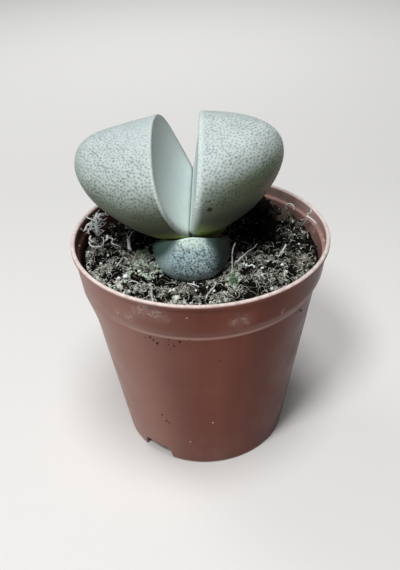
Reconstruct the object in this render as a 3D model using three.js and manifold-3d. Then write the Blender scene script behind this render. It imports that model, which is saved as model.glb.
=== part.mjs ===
// A split rock, a stemless stone-like plant with two swollen leaves, in a small tapered plastic nursery pot.
// Lengths are millimetres and angles degrees. +Z is up, the front faces -Y, and the origin is the centre of
// the pot's foot, on the surface that it stands on.
import * as THREE from "three";
import { mergeVertices } from "three/addons/utils/BufferGeometryUtils.js";
import Module from "manifold-3d";

const wasm = await Module();
wasm.setup();

// Clearance between neighbouring pieces
const GAP = 0.3;

// Pot
const POT_HEIGHT = 51.4;
const LIP_RADIUS = 27.5;
const LIP_DEPTH = 1.2; // the lip's outer side, from the top of the rim down
const LIP_OVERHANG = 0.5; // how far the lip stands out of the band below it
const BAND_BOTTOM = { radius: 26.4, z: 44.5 };
const STEP_BOTTOM = { radius: 25.2, z: 42.0 };
const FOOT_RADIUS = 19.3;
const WALL = 0.9;
const LEDGE_DEPTH = 2.65; // a shallow ledge inside, this far below the rim
const FLOOR_UNDERSIDE = 3.9;
const FLOOR_THICKNESS = 1.0;
const FLOOR_TOP = FLOOR_UNDERSIDE + FLOOR_THICKNESS;
const FOOT_ROUND = 0.9;
const RIM_ROUND = 0.4;
const STEP_ROUND = 0.35;
const CORNER = 1 - Math.SQRT1_2; // where the middle of a rounded corner lies, as a share of its radius
const LEDGE_SLOPE = 0.25;
const FLOOR_FILLET = { width: 0.8, height: 1.0 };
const POT_SEGMENTS = 72;
const NOTCH_COUNT = 3;
const FIRST_NOTCH_ANGLE = -36.5; // round the foot from the front, positive towards +X
const NOTCH = { topWidth: 4.4, footWidth: 9.2, height: 3.6, flare: 0.72 };
const DRAIN_SLOT = { length: 5.2, width: 2.4, radius: 15.2 };

// Soil
const SOIL_LEVEL = 46.0;
const SOIL_ROUGHNESS = 0.55; // how far the surface rises and falls from one grid point to the next
const SOIL_RING_STEP = 1.25;
const SOIL_INNER_RADIUS = 5.0; // inside this the surface grid is coarse, under the plant
const SOIL_SEGMENTS = 64;
const SOIL_STRAY = 0.4; // how far a grid point strays sideways
const CRUMB_COUNT = 42;
const CRUMB_RADIUS = { least: 0.7, most: 1.5 };
const CRUMB_FLATNESS = { least: 0.7, most: 1.1 };
const CRUMB_RISE = 0.3; // how much of its radius a crumb's centre lies above the surface
const CRUMB_SPREAD = 24.0;
const SOIL_SEED = 17;
// Low heaps and hollows of the surface, at x, y with a reach and a rise
const MOUNDS = [
  { x: 15.5, y: 17.0, reach: 6.5, rise: 1.9 },
  { x: 21.0, y: 8.0, reach: 5.5, rise: 0.8 },
  { x: 16.0, y: -9.0, reach: 7.0, rise: 1.5 },
  { x: -12.5, y: -8.0, reach: 5.5, rise: 1.6 },
  { x: -21.0, y: 3.0, reach: 5.0, rise: 1.2 },
  { x: -13.5, y: 4.0, reach: 5.5, rise: -1.6 },
  { x: 12.5, y: 5.0, reach: 5.0, rise: -1.4 },
  { x: 0.0, y: 19.0, reach: 7.0, rise: 0.7 },
];

// The new pair of leaves: both flat faces meet in the fissure, a line that runs from front to back
const FISSURE = { x: -1.71, y: 5.37, z: 56.4, turn: 2.15, rise: 3.2 };
const SLIT = 0.3;
const LEFT_LEAF = {
  lean: 22.1,
  halfWidth: 18.2,
  centre: 7.7, // height of the widest place above the fissure
  above: 11.1, // from there up to the tip
  below: 14.0, // and down to the base
  sideCurve: 1.19,
  endCurve: 0.93,
  hollow: 1.2,
  edge: 0.8, // radius of the round between face and dome
  bulge: { height: 16.9, depth: 18.2, across: 1.91, upright: 1.85, drift: 1.57 },
};
const RIGHT_LEAF = {
  lean: 6.9,
  halfWidth: 16.7,
  centre: 7.2,
  above: 11.4,
  below: 13.5,
  sideCurve: 1.19,
  endCurve: 1.03,
  hollow: 0.5,
  edge: 0.8,
  bulge: { height: 13.0, depth: 17.8, across: 1.9, upright: 1.85, drift: 1.58 },
};

// Under the pair both leaves are drawn down to a short neck round the crown
const NECK = { radius: 6.0, reach: 12.0, drop: 4.6, topZ: 55.5, bottomZ: 49.5 };

// The old pair of leaves, crosswise to the new one and pressed down into the soil
const OLD_FRONT = { x: -1.91, y: -2.37, z: 50.34, turn: 2.2, tilt: 2.3 };
const OLD_LEAF = {
  lean: 59,
  halfWidth: 8.1,
  centre: 3.0,
  above: 7.4,
  below: 5.0,
  sideCurve: 1.1,
  endCurve: 0.9,
  hollow: 0,
  edge: 0.5,
  bulge: { height: 4.5, depth: 8.4, across: 2.15, upright: 2.2, drift: 1.0 },
};
const OLD_BACK_SCALE = 0.94;

// The crown, which carries all the leaves, with its taproot in the soil
const ROOT_PROFILE = [
  [0, 17.0],
  [0.9, 18.0],
  [1.6, 24.0],
  [2.8, 31.0],
  [4.2, 37.0],
  [5.4, 41.5],
  [5.6, 44.0],
  [4.9, 46.5],
  [3.2, 48.2],
  [0, 49.0],
];
const ROOT_SEGMENTS = 24;

// Mesh density of the leaves
const LEAF_SIDES = 44;
const FACE_RINGS = [0.4, 0.75];
const EDGE_STEPS = 2;
const DOME_STEPS = 12;
const OLD_LEAF_SIDES = 32;
const OLD_DOME_STEPS = 9;
const CURVE_SEGMENTS = 6;

const MERGE_DISTANCE = 1e-4;

const radians = THREE.MathUtils.degToRad;

// Powers that keep the sign of their base, for rounded outlines
function signedPower(value, power) {
  return Math.sign(value) * Math.abs(value) ** power;
}

// A repeatable random number between 0 and 1, one for each call: a linear congruential generator
function makeRandom(seed) {
  const multiplier = 1664525;
  const increment = 1013904223;
  const modulus = 2 ** 32;
  let state = seed;
  return function next() {
    state = (state * multiplier + increment) % modulus;
    return state / modulus;
  };
}

// A copy with one vertex at each place, without normals or texture coordinates
function welded(geometry) {
  const bare = new THREE.BufferGeometry();
  bare.setAttribute("position", geometry.getAttribute("position").clone());
  bare.setIndex(geometry.index);
  return mergeVertices(bare, MERGE_DISTANCE);
}

// Turns a closed geometry into a solid that can be cut and joined
function solidOf(geometry) {
  const merged = welded(geometry);
  return new wasm.Manifold(
    new wasm.Mesh({
      numProp: 3,
      vertProperties: merged.attributes.position.array,
      triVerts: new Uint32Array(merged.index.array),
    }),
  );
}

// And back, for a mesh
function geometryOf(solid) {
  const mesh = solid.getMesh();
  const geometry = new THREE.BufferGeometry();
  geometry.setAttribute("position", new THREE.BufferAttribute(mesh.vertProperties, 3));
  geometry.setIndex(new THREE.BufferAttribute(mesh.triVerts, 1));
  geometry.computeVertexNormals();
  return geometry;
}

// The largest body of a solid that a cut may have left scraps beside
function largestBody(solid) {
  const bodies = solid.decompose();
  return bodies.reduce((best, body) => (body.volume() > best.volume() ? body : best));
}

// A copy of a closed geometry whose surface lies the given distance further out
function grown(geometry, distance) {
  const copy = welded(geometry);
  copy.computeVertexNormals();
  const position = copy.attributes.position;
  const normal = copy.attributes.normal;
  for (let i = 0; i < position.count; i += 1) {
    position.setXYZ(
      i,
      position.getX(i) + distance * normal.getX(i),
      position.getY(i) + distance * normal.getY(i),
      position.getZ(i) + distance * normal.getZ(i),
    );
  }
  return copy;
}

// A solid of revolution about +Z from [radius, z] points; the seam lies at the front
function turned(points, segments) {
  const profile = points.map(([radius, z]) => new THREE.Vector2(radius, z));
  const geometry = new THREE.LatheGeometry(profile, segments);
  geometry.rotateX(Math.PI / 2);
  return geometry;
}

// Pot

// The outer radius of the body below the step, which tapers evenly to the foot
function bodyRadius(z) {
  return THREE.MathUtils.mapLinear(z, 0, STEP_BOTTOM.z, FOOT_RADIUS, STEP_BOTTOM.radius);
}

// The outer radius of the band between the step and the lip
function bandRadius(z) {
  const top = { radius: LIP_RADIUS - LIP_OVERHANG, z: POT_HEIGHT - LIP_DEPTH };
  return THREE.MathUtils.mapLinear(z, BAND_BOTTOM.z, top.z, BAND_BOTTOM.radius, top.radius);
}

function potOutline() {
  const lipBottom = POT_HEIGHT - LIP_DEPTH;
  const lipInner = LIP_RADIUS - WALL;
  const ledge = POT_HEIGHT - LEDGE_DEPTH;
  const filletTop = FLOOR_TOP + FLOOR_FILLET.height;
  const footInner = bodyRadius(0) - WALL - 0.5 * FOOT_ROUND;
  return [
    [0, FLOOR_UNDERSIDE],
    [footInner - RIM_ROUND, FLOOR_UNDERSIDE],
    [footInner, FLOOR_UNDERSIDE - RIM_ROUND],
    [footInner, 0],
    [bodyRadius(0) - FOOT_ROUND, 0],
    [bodyRadius(0) - CORNER * FOOT_ROUND, CORNER * FOOT_ROUND],
    [bodyRadius(FOOT_ROUND), FOOT_ROUND],
    [STEP_BOTTOM.radius, STEP_BOTTOM.z],
    [BAND_BOTTOM.radius - 0.5 * STEP_ROUND, BAND_BOTTOM.z - STEP_ROUND],
    [BAND_BOTTOM.radius, BAND_BOTTOM.z],
    [bandRadius(lipBottom), lipBottom],
    [LIP_RADIUS, lipBottom + RIM_ROUND],
    [LIP_RADIUS, POT_HEIGHT - RIM_ROUND],
    [LIP_RADIUS - CORNER * RIM_ROUND, POT_HEIGHT - CORNER * RIM_ROUND],
    [LIP_RADIUS - RIM_ROUND, POT_HEIGHT],
    [lipInner + CORNER * RIM_ROUND, POT_HEIGHT - CORNER * RIM_ROUND],
    [lipInner, POT_HEIGHT - RIM_ROUND],
    [lipInner, ledge],
    [bandRadius(ledge) - WALL, ledge - LEDGE_SLOPE],
    [BAND_BOTTOM.radius - WALL, BAND_BOTTOM.z],
    [STEP_BOTTOM.radius - WALL, STEP_BOTTOM.z],
    [bodyRadius(filletTop) - WALL, filletTop],
    [bodyRadius(FLOOR_TOP) - WALL - FLOOR_FILLET.width, FLOOR_TOP],
    [0, FLOOR_TOP],
  ];
}

// A notch through the wall at the foot, at an angle round +Z from the front: a flat arch with flared sides
function notchCutter(angle) {
  const top = 0.5 * NOTCH.topWidth;
  const foot = 0.5 * NOTCH.footWidth;
  const below = -FLOOR_THICKNESS;
  const reach = { inner: FOOT_RADIUS - 4 * WALL, depth: 8 * WALL };
  const outline = new THREE.Shape();
  outline.moveTo(-foot, below);
  outline.lineTo(-foot, 0);
  outline.bezierCurveTo(-NOTCH.flare * foot, 0, -foot, NOTCH.height, -top, NOTCH.height);
  outline.lineTo(top, NOTCH.height);
  outline.bezierCurveTo(foot, NOTCH.height, NOTCH.flare * foot, 0, foot, 0);
  outline.lineTo(foot, below);
  outline.closePath();
  const geometry = new THREE.ExtrudeGeometry(outline, {
    depth: reach.depth,
    bevelEnabled: false,
    curveSegments: CURVE_SEGMENTS,
  });
  geometry.rotateX(Math.PI / 2);
  geometry.translate(0, -reach.inner, 0);
  geometry.rotateZ(radians(angle));
  return solidOf(geometry);
}

// A slot through the floor, with round ends, behind each notch
function slotCutter(angle) {
  const end = 0.5 * DRAIN_SLOT.width;
  const straight = 0.5 * DRAIN_SLOT.length - end;
  const outline = new THREE.Shape();
  outline.moveTo(-straight, -end);
  outline.lineTo(straight, -end);
  outline.absarc(straight, 0, end, -0.5 * Math.PI, 0.5 * Math.PI, false);
  outline.lineTo(-straight, end);
  outline.absarc(-straight, 0, end, 0.5 * Math.PI, 1.5 * Math.PI, false);
  const geometry = new THREE.ExtrudeGeometry(outline, {
    depth: 3 * FLOOR_THICKNESS,
    bevelEnabled: false,
    curveSegments: CURVE_SEGMENTS,
  });
  geometry.translate(0, -DRAIN_SLOT.radius, FLOOR_UNDERSIDE - FLOOR_THICKNESS);
  geometry.rotateZ(radians(angle));
  return solidOf(geometry);
}

function makePot() {
  let pot = solidOf(turned(potOutline(), POT_SEGMENTS));
  for (let i = 0; i < NOTCH_COUNT; i += 1) {
    const angle = FIRST_NOTCH_ANGLE + (i * 360) / NOTCH_COUNT;
    pot = pot.subtract(notchCutter(angle)).subtract(slotCutter(angle));
  }
  return pot;
}

// Leaves

// Where a leaf sits: its origin, and its own directions across (s), up the face (t) and out of the dome (n).
// The face stands upright on s and is then laid back by the lean, towards the side that the leaf is on.
function leafFrame(origin, s, out, lean) {
  const up = new THREE.Vector3().crossVectors(out, s);
  up.multiplyScalar(Math.sign(up.z));
  const cos = Math.cos(radians(lean));
  const sin = Math.sin(radians(lean));
  const t = up.clone().multiplyScalar(cos).addScaledVector(out, sin);
  const n = out.clone().multiplyScalar(cos).addScaledVector(up, -sin);
  return { origin, s, t, n };
}

// The frame of a new leaf: side is 1 for the right one and -1 for the left one
function newLeafFrame(leaf, side) {
  const turn = radians(FISSURE.turn);
  const rise = radians(FISSURE.rise);
  const s = new THREE.Vector3(Math.sin(turn), Math.cos(turn), Math.tan(rise)).normalize();
  const out = new THREE.Vector3(side * Math.cos(turn), -side * Math.sin(turn), 0);
  return leafFrame(new THREE.Vector3(FISSURE.x, FISSURE.y, FISSURE.z), s, out, leaf.lean);
}

// The frame of an old leaf: half is 1 for the front one and -1 for the one opposite, across the plant's axis
function oldLeafFrame(leaf, half) {
  const turn = radians(OLD_FRONT.turn);
  const tilt = radians(OLD_FRONT.tilt);
  const out = new THREE.Vector3(half * Math.sin(turn), -half * Math.cos(turn), 0);
  const s = new THREE.Vector3(half * Math.cos(turn), half * Math.sin(turn), Math.tan(tilt)).normalize();
  const x = FISSURE.x + half * (OLD_FRONT.x - FISSURE.x);
  const y = FISSURE.y + half * (OLD_FRONT.y - FISSURE.y);
  return leafFrame(new THREE.Vector3(x, y, OLD_FRONT.z), s, out, leaf.lean);
}

// How deep the face is hollowed at height t
function hollowAt(leaf, t) {
  const part = THREE.MathUtils.clamp(t / (leaf.centre + leaf.above), 0, 1);
  return 4 * leaf.hollow * part * (1 - part);
}

// The leaf's margin at an angle round the face, 0 at the tip
function marginAt(leaf, angle) {
  const reach = Math.cos(angle) > 0 ? leaf.above : leaf.below;
  return {
    s: leaf.halfWidth * signedPower(Math.sin(angle), leaf.sideCurve),
    t: leaf.centre + reach * signedPower(Math.cos(angle), leaf.endCurve),
  };
}

// A point of the flat face, at a share of the way from its centre to the margin
function facePoint(leaf, angle, share) {
  const margin = marginAt(leaf, angle);
  const t = leaf.centre + share * (margin.t - leaf.centre);
  return { s: share * margin.s, t, n: hollowAt(leaf, t) };
}

// A point of the small round between face and dome, from 0 at the face to 1 at the dome
function edgePoint(leaf, angle, step) {
  const turn = 0.5 * Math.PI * step;
  const inset = (leaf.edge / leaf.halfWidth) * (1 - Math.sin(turn));
  const point = facePoint(leaf, angle, 1 - inset);
  point.n += leaf.edge * (1 - Math.cos(turn));
  return point;
}

// A point of the dome, from 0 at the margin to 1 at its far end
function domePoint(leaf, angle, step) {
  const { height, depth, across, upright, drift } = leaf.bulge;
  const margin = marginAt(leaf, angle);
  const out = Math.sin(0.5 * Math.PI * step);
  const width = (1 - out ** across) ** (1 / across);
  const closing = (1 - out ** upright) ** (1 / upright);
  return {
    s: width * margin.s,
    t: leaf.centre + out ** drift * (height - leaf.centre) + closing * (margin.t - leaf.centre),
    n: depth * out + closing * (hollowAt(leaf, margin.t) + leaf.edge),
  };
}

// The closed skin of a leaf in the pot's frame: a pole on the face, rings out to the margin and over the dome
function leafGeometry(leaf, frame, sides, domeSteps, reshape) {
  const rings = [];
  const angles = Array.from({ length: sides }, (_, i) => (i * 2 * Math.PI) / sides);
  for (const share of FACE_RINGS) {
    rings.push(angles.map((angle) => facePoint(leaf, angle, share)));
  }
  for (let i = 0; i <= EDGE_STEPS; i += 1) {
    rings.push(angles.map((angle) => edgePoint(leaf, angle, i / EDGE_STEPS)));
  }
  for (let i = 1; i < domeSteps; i += 1) {
    rings.push(angles.map((angle) => domePoint(leaf, angle, i / domeSteps)));
  }
  const poles = [facePoint(leaf, 0, 0), domePoint(leaf, 0, 1)];
  const points = [poles[0], ...rings.flat(), poles[1]].map((point) => {
    const place = frame.origin.clone();
    place.addScaledVector(frame.s, point.s);
    place.addScaledVector(frame.t, point.t);
    place.addScaledVector(frame.n, point.n);
    return reshape(place);
  });
  const index = [];
  const last = points.length - 1;
  const lastRing = 1 + (rings.length - 1) * sides;
  for (let i = 0; i < sides; i += 1) {
    const next = (i + 1) % sides;
    index.push(0, 1 + i, 1 + next);
    index.push(last, lastRing + next, lastRing + i);
    for (let ring = 0; ring + 1 < rings.length; ring += 1) {
      const inner = 1 + ring * sides;
      const outer = inner + sides;
      index.push(inner + i, outer + i, outer + next);
      index.push(inner + i, outer + next, inner + next);
    }
  }
  const geometry = new THREE.BufferGeometry();
  geometry.setAttribute("position", new THREE.Float32BufferAttribute(points.flatMap((p) => p.toArray()), 3));
  geometry.setIndex(index);
  return facingOut(geometry);
}

// Turns the faces round where the order of the rings made them point inwards
function facingOut(geometry) {
  if (solidOf(geometry).volume() > 0) return geometry;
  const index = geometry.index.array;
  for (let i = 0; i < index.length; i += 3) {
    const second = index[i + 1];
    index[i + 1] = index[i + 2];
    index[i + 2] = second;
  }
  return geometry;
}

// Draws the underside of a new leaf down to the neck
function drawnDown(point) {
  const away = Math.hypot(point.x - FISSURE.x, point.y - FISSURE.y);
  const near = 1 - THREE.MathUtils.smoothstep(away, NECK.radius, NECK.reach);
  const low = 1 - THREE.MathUtils.smoothstep(point.z, NECK.bottomZ, NECK.topZ);
  point.z -= NECK.drop * near * low;
  return point;
}

function unchanged(point) {
  return point;
}

// A block that fills the other side of the plane between the two leaves, half a slit beyond it
function otherSide(side) {
  const left = newLeafFrame(LEFT_LEAF, -1);
  const right = newLeafFrame(RIGHT_LEAF, 1);
  const across = right.n.clone().sub(left.n).normalize().multiplyScalar(-side);
  const along = left.s.clone();
  const up = new THREE.Vector3().crossVectors(across, along);
  const size = 2 * LIP_RADIUS;
  const block = new THREE.BoxGeometry(size, size, size);
  block.translate(0.5 * size - 0.5 * SLIT, 0, 0);
  block.applyMatrix4(new THREE.Matrix4().makeBasis(across, along, up));
  block.translate(FISSURE.x, FISSURE.y, FISSURE.z);
  return solidOf(block);
}

// Soil

function surfaceHeight(x, y) {
  let height = SOIL_LEVEL;
  for (const mound of MOUNDS) {
    const away = Math.hypot(x - mound.x, y - mound.y) / mound.reach;
    height += mound.rise * Math.exp(-away * away);
  }
  return height;
}

// The body of the soil, which fills the pot, with its surface roughened ring by ring
function soilGeometry(random) {
  const bottomZ = FLOOR_TOP + GAP;
  const filletTop = bottomZ + FLOOR_FILLET.height;
  const innerTop = BAND_BOTTOM.radius - WALL - GAP;
  const points = [
    [0, bottomZ],
    [bodyRadius(bottomZ) - WALL - FLOOR_FILLET.width - GAP, bottomZ],
    [bodyRadius(filletTop) - WALL - GAP, filletTop],
    [STEP_BOTTOM.radius - WALL - GAP, STEP_BOTTOM.z],
    [innerTop, BAND_BOTTOM.z + GAP],
  ];
  for (let radius = innerTop; radius > SOIL_INNER_RADIUS; radius -= SOIL_RING_STEP) {
    points.push([radius, SOIL_LEVEL]);
  }
  points.push([0, SOIL_LEVEL]);
  const soil = welded(turned(points, SOIL_SEGMENTS));
  const position = soil.attributes.position;
  for (let i = 0; i < position.count; i += 1) {
    if (position.getZ(i) < SOIL_LEVEL - MERGE_DISTANCE) continue;
    const atWall = Math.hypot(position.getX(i), position.getY(i)) > innerTop - MERGE_DISTANCE;
    const stray = atWall ? 0 : SOIL_STRAY;
    const x = position.getX(i) + stray * (2 * random() - 1);
    const y = position.getY(i) + stray * (2 * random() - 1);
    position.setXYZ(i, x, y, surfaceHeight(x, y) + SOIL_ROUGHNESS * (2 * random() - 1));
  }
  return soil;
}

// One crumb: a small uneven lump, turned at random and sunk into the surface
function crumb(random) {
  const between = ({ least, most }, share) => THREE.MathUtils.lerp(least, most, share);
  const angle = 2 * Math.PI * random();
  const radius = CRUMB_SPREAD * Math.sqrt(random());
  const x = radius * Math.cos(angle);
  const y = radius * Math.sin(angle);
  const size = between(CRUMB_RADIUS, random() ** 2);
  const geometry = new THREE.IcosahedronGeometry(size, 0);
  geometry.scale(1, between(CRUMB_FLATNESS, random()), between(CRUMB_FLATNESS, random()));
  geometry.rotateX(Math.PI * random());
  geometry.rotateZ(Math.PI * random());
  geometry.translate(x, y, surfaceHeight(x, y) + CRUMB_RISE * size);
  return geometry;
}

function makeSoil(plantRoom) {
  const random = makeRandom(SOIL_SEED);
  let soil = solidOf(soilGeometry(random));
  for (let i = 0; i < CRUMB_COUNT; i += 1) {
    soil = soil.add(solidOf(crumb(random)));
  }
  for (const room of plantRoom) {
    soil = soil.subtract(room);
  }
  return largestBody(soil);
}

// Assembly

const COLOURS = {
  pot: new THREE.MeshStandardMaterial({ color: 0x6e473d, roughness: 0.42, metalness: 0 }),
  soil: new THREE.MeshStandardMaterial({ color: 0x2b2823, roughness: 0.95, metalness: 0 }),
  newLeaf: new THREE.MeshStandardMaterial({ color: 0xb9c6c0, roughness: 0.6, metalness: 0 }),
  oldLeaf: new THREE.MeshStandardMaterial({ color: 0x8fa8aa, roughness: 0.65, metalness: 0 }),
  crown: new THREE.MeshStandardMaterial({ color: 0x6b5138, roughness: 0.85, metalness: 0 }),
};

function place(parent, name, solid, material) {
  const mesh = new THREE.Mesh(geometryOf(solid), material);
  mesh.name = name;
  parent.add(mesh);
}

function oldLeaf(half) {
  const size = half > 0 ? 1 : OLD_BACK_SCALE;
  const leaf = {
    ...OLD_LEAF,
    halfWidth: size * OLD_LEAF.halfWidth,
    above: size * OLD_LEAF.above,
    bulge: { ...OLD_LEAF.bulge, depth: size * OLD_LEAF.bulge.depth },
  };
  return leafGeometry(leaf, oldLeafFrame(leaf, half), OLD_LEAF_SIDES, OLD_DOME_STEPS, unchanged);
}

const crown = turned(ROOT_PROFILE, ROOT_SEGMENTS).translate(FISSURE.x, FISSURE.y, 0);
const leftDome = leafGeometry(LEFT_LEAF, newLeafFrame(LEFT_LEAF, -1), LEAF_SIDES, DOME_STEPS, drawnDown);
const rightDome = leafGeometry(RIGHT_LEAF, newLeafFrame(RIGHT_LEAF, 1), LEAF_SIDES, DOME_STEPS, drawnDown);
const frontDome = oldLeaf(1);
const backDome = oldLeaf(-1);

const crownRoom = solidOf(grown(crown, GAP));
const newLeafRoom = solidOf(grown(leftDome, GAP)).add(solidOf(grown(rightDome, GAP)));

const leftLeaf = solidOf(leftDome).subtract(otherSide(-1)).subtract(crownRoom);
const rightLeaf = solidOf(rightDome).subtract(otherSide(1)).subtract(crownRoom);
const frontLeaf = solidOf(frontDome).subtract(newLeafRoom).subtract(crownRoom);
const backLeaf = solidOf(backDome).subtract(newLeafRoom).subtract(crownRoom);
const oldLeafRoom = solidOf(grown(frontDome, GAP)).add(solidOf(grown(backDome, GAP)));

const group = new THREE.Group();
const filledPot = new THREE.Group();
const plant = new THREE.Group();
group.add(filledPot, plant);

place(filledPot, "pot", makePot(), COLOURS.pot);
place(filledPot, "soil", makeSoil([newLeafRoom, oldLeafRoom, crownRoom]), COLOURS.soil);
place(plant, "crown_and_taproot", solidOf(crown), COLOURS.crown);
place(plant, "new_leaf_left", largestBody(leftLeaf), COLOURS.newLeaf);
place(plant, "new_leaf_right", largestBody(rightLeaf), COLOURS.newLeaf);
place(plant, "old_leaf_front", largestBody(frontLeaf), COLOURS.oldLeaf);
place(plant, "old_leaf_back", largestBody(backLeaf), COLOURS.oldLeaf);

export default group;
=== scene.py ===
"""The finish of a potted split rock: dotted waxy leaves, a moulded plastic pot, and crumbly soil with roots.

Lengths are millimetres, turned into metres as each mesh is made. The front faces -Y and +Z is up.
"""

import functools
import math
import random

import bmesh
import bpy
import numpy as np
from mathutils import Matrix, Vector, noise
from mathutils.bvhtree import BVHTree
from mathutils.kdtree import KDTree


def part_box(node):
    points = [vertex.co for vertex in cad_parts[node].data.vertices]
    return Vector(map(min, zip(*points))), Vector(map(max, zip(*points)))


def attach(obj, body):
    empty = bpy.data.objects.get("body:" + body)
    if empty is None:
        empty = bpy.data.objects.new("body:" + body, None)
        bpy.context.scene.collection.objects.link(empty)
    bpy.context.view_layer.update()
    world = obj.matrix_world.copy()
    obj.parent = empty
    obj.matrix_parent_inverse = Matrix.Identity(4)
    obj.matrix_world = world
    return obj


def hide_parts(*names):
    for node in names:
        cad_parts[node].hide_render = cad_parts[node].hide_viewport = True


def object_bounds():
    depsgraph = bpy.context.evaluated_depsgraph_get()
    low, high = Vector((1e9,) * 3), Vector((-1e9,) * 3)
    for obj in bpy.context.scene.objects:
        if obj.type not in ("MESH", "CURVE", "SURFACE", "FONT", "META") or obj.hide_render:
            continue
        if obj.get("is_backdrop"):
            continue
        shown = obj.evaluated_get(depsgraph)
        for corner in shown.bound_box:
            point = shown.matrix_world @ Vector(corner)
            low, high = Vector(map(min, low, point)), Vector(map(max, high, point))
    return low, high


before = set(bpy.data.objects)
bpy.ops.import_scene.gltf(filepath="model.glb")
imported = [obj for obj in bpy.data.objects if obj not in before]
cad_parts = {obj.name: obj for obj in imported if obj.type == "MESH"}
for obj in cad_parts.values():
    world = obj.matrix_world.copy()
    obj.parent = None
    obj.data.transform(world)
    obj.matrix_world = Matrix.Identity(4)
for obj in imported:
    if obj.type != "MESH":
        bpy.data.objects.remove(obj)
cad_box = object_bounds()

MM = 0.001

# Camera: a pinhole 650 pixels from a picture of 400 x 570, found from the rim and foot in the photograph
PICTURE_WIDTH = 400
PICTURE_HEIGHT = 570
FOCAL_PIXELS = 650
SENSOR = 36
CAMERA_PLACE = Vector((0.0, -121.11, 120.63))
CAMERA_FORWARD = Vector((-0.0028, 0.8236, -0.5672)).normalized()
CAMERA_RIGHT = Vector((0.9995, -0.0164, -0.0288)).normalized()
CAMERA_UP = CAMERA_RIGHT.cross(CAMERA_FORWARD).normalized()

# Pot, with its height and its rim taken from the frame
POT_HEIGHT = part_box("pot")[1].z / MM
LIP_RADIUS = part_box("pot")[1].x / MM
LIP_DEPTH = 1.2
LIP_OVERHANG = 0.5
BAND_BOTTOM = (26.4, 44.5)
STEP_BOTTOM = (25.2, 42.0)
FOOT_RADIUS = 19.3
WALL = 0.9
FOOT_WALL = 1.35
STEP_FLARE = 0.45
LEDGE_DEPTH = 2.65
LEDGE_SLOPE = 0.25
FLOOR_UNDERSIDE = 3.9
FLOOR_TOP = 4.9
POT_SEGMENTS = 256
NOTCH_ANGLES = (-36.5, 83.5, 203.5)  # round the foot from the front, positive towards +X
NOTCH_TOP = 4.4
NOTCH_FOOT = 9.2
NOTCH_HEIGHT = 3.6
NOTCH_FLARE = 0.72
SLOT_LENGTH = 5.2
SLOT_WIDTH = 2.4
SLOT_RADIUS = 15.2
SOFT_EDGE = 0.15
OUTLINE_STEP = 1.4

# Soil
SOIL_LEVEL = 46.0
SOIL_RADIUS = 25.2
SOIL_GAP = 0.3
SOIL_RINGS = 84
SOIL_SEGMENTS = 420
SOIL_CHAMFER = (0.8, 1.0)  # in and up, at the pot's floor
CRUMBS = 2250
DARK_CRUMBS = 2600
SPLINTERS = 3600
GRAINS = 500
FIBRES = 700
CURLS = 3400
# Where the soil is painted dark as shade under and beside the leaves: x, y, reach along x and along y, and
# how much
PAINTED_SHADE_PATCHES = (
    (-15.5, 9.8, 8.2, 9.8, 1),
    (14, 12, 8, 10.5, 1),
    (0, 15, 12, 9, 1),
    (-10.5, 2.5, 3, 3, 0.7),
    (10.4, -8.9, 2.7, 2.1, 1),
    (21.5, 1.5, 5.5, 7, 0.75),
    (15, -1, 9, 9, 0.36),
)
# Low heaps and hollows of the surface: x, y, reach and rise
MOUNDS = (
    (15.5, 17, 6.5, 1.9),
    (21, 8, 5.5, 0.8),
    (16, -9, 7, 1.5),
    (-12.5, -8, 5.5, 1.6),
    (-21, 3, 5, 1.2),
    (-13.5, 4, 5.5, -1.6),
    (12.5, 5, 5, -1.4),
    (0, 19, 7, 0.7),
)

# Leaves, with the shape of the solids. The margin of a face has a centre up its length, a half width, a reach
# above and below the centre and curves for its sides and ends. The dome's top lies at a height up the face
# and a depth behind it, with curves for how it closes across and upright and how its middle drifts up.
FISSURE_PLACE = np.array((-1.71, 5.37, 56.4))
FISSURE_TURN = 2.15
FISSURE_RISE = 3.2
SLIT = 0.18
LEFT_LEAF = dict(
    lean=22.1, half_width=18.2, centre=7.7, above=11.1, below=14.0, side_curve=1.19, end_curve=0.93,
    hollow=1.2, edge=0.8, height=16.9, depth=18.2, across=1.91, upright=1.85, drift=1.57,
)
RIGHT_LEAF = dict(
    lean=6.9, half_width=16.7, centre=7.2, above=11.4, below=13.5, side_curve=1.19, end_curve=1.03,
    hollow=0.5, edge=0.8, height=13.0, depth=17.8, across=1.9, upright=1.85, drift=1.58,
)
OLD_LEAF = dict(
    lean=59.0, half_width=8.1, centre=3.0, above=7.4, below=5.0, side_curve=1.1, end_curve=0.9,
    hollow=0.0, edge=0.5, height=4.5, depth=8.4, across=2.15, upright=2.2, drift=1.0,
)
OLD_PLACE = np.array((-1.91, -2.37, 50.34))
OLD_TURN = 2.2
OLD_TILT = 2.3
OLD_BACK_SCALE = 0.94
OLD_TOP = 55.8
NECK = {"radius": 6.0, "reach": 12.0, "drop": 4.6, "top": 55.5, "bottom": 49.5}
# Fineness of the skins: points round the margin, rings on the face, steps round the edge and over the dome
NEW_FINENESS = (500, 16, 6, 128)
OLD_FRONT_FINENESS = (320, 10, 5, 80)
OLD_BACK_FINENESS = (200, 6, 4, 50)
# Dots: spacing, least and most radius in mm, and how many times longer than wide a dot can be
NEW_DOTS = {"spacing": 0.6, "least": 0.14, "most": 0.22, "stretch": 2.4}
OLD_DOTS = {"spacing": 0.46, "least": 0.11, "most": 0.26, "stretch": 3.4}
DOT_EDGE = 0.17  # the width of a dot's soft edge


# Meshes and masks


def mesh_object(name, points, faces, attributes=None):
    """A smooth mesh piece from points in millimetres, with one float attribute for each named array."""
    mesh = bpy.data.meshes.new(name)
    mesh.from_pydata((np.asarray(points, float) * MM).tolist(), [], faces)
    mesh.shade_smooth()
    mesh.update()
    piece = bpy.data.objects.new(name, mesh)
    bpy.context.scene.collection.objects.link(piece)
    for key, values in (attributes or {}).items():
        add_attribute(piece, key, values)
    return piece


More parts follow.
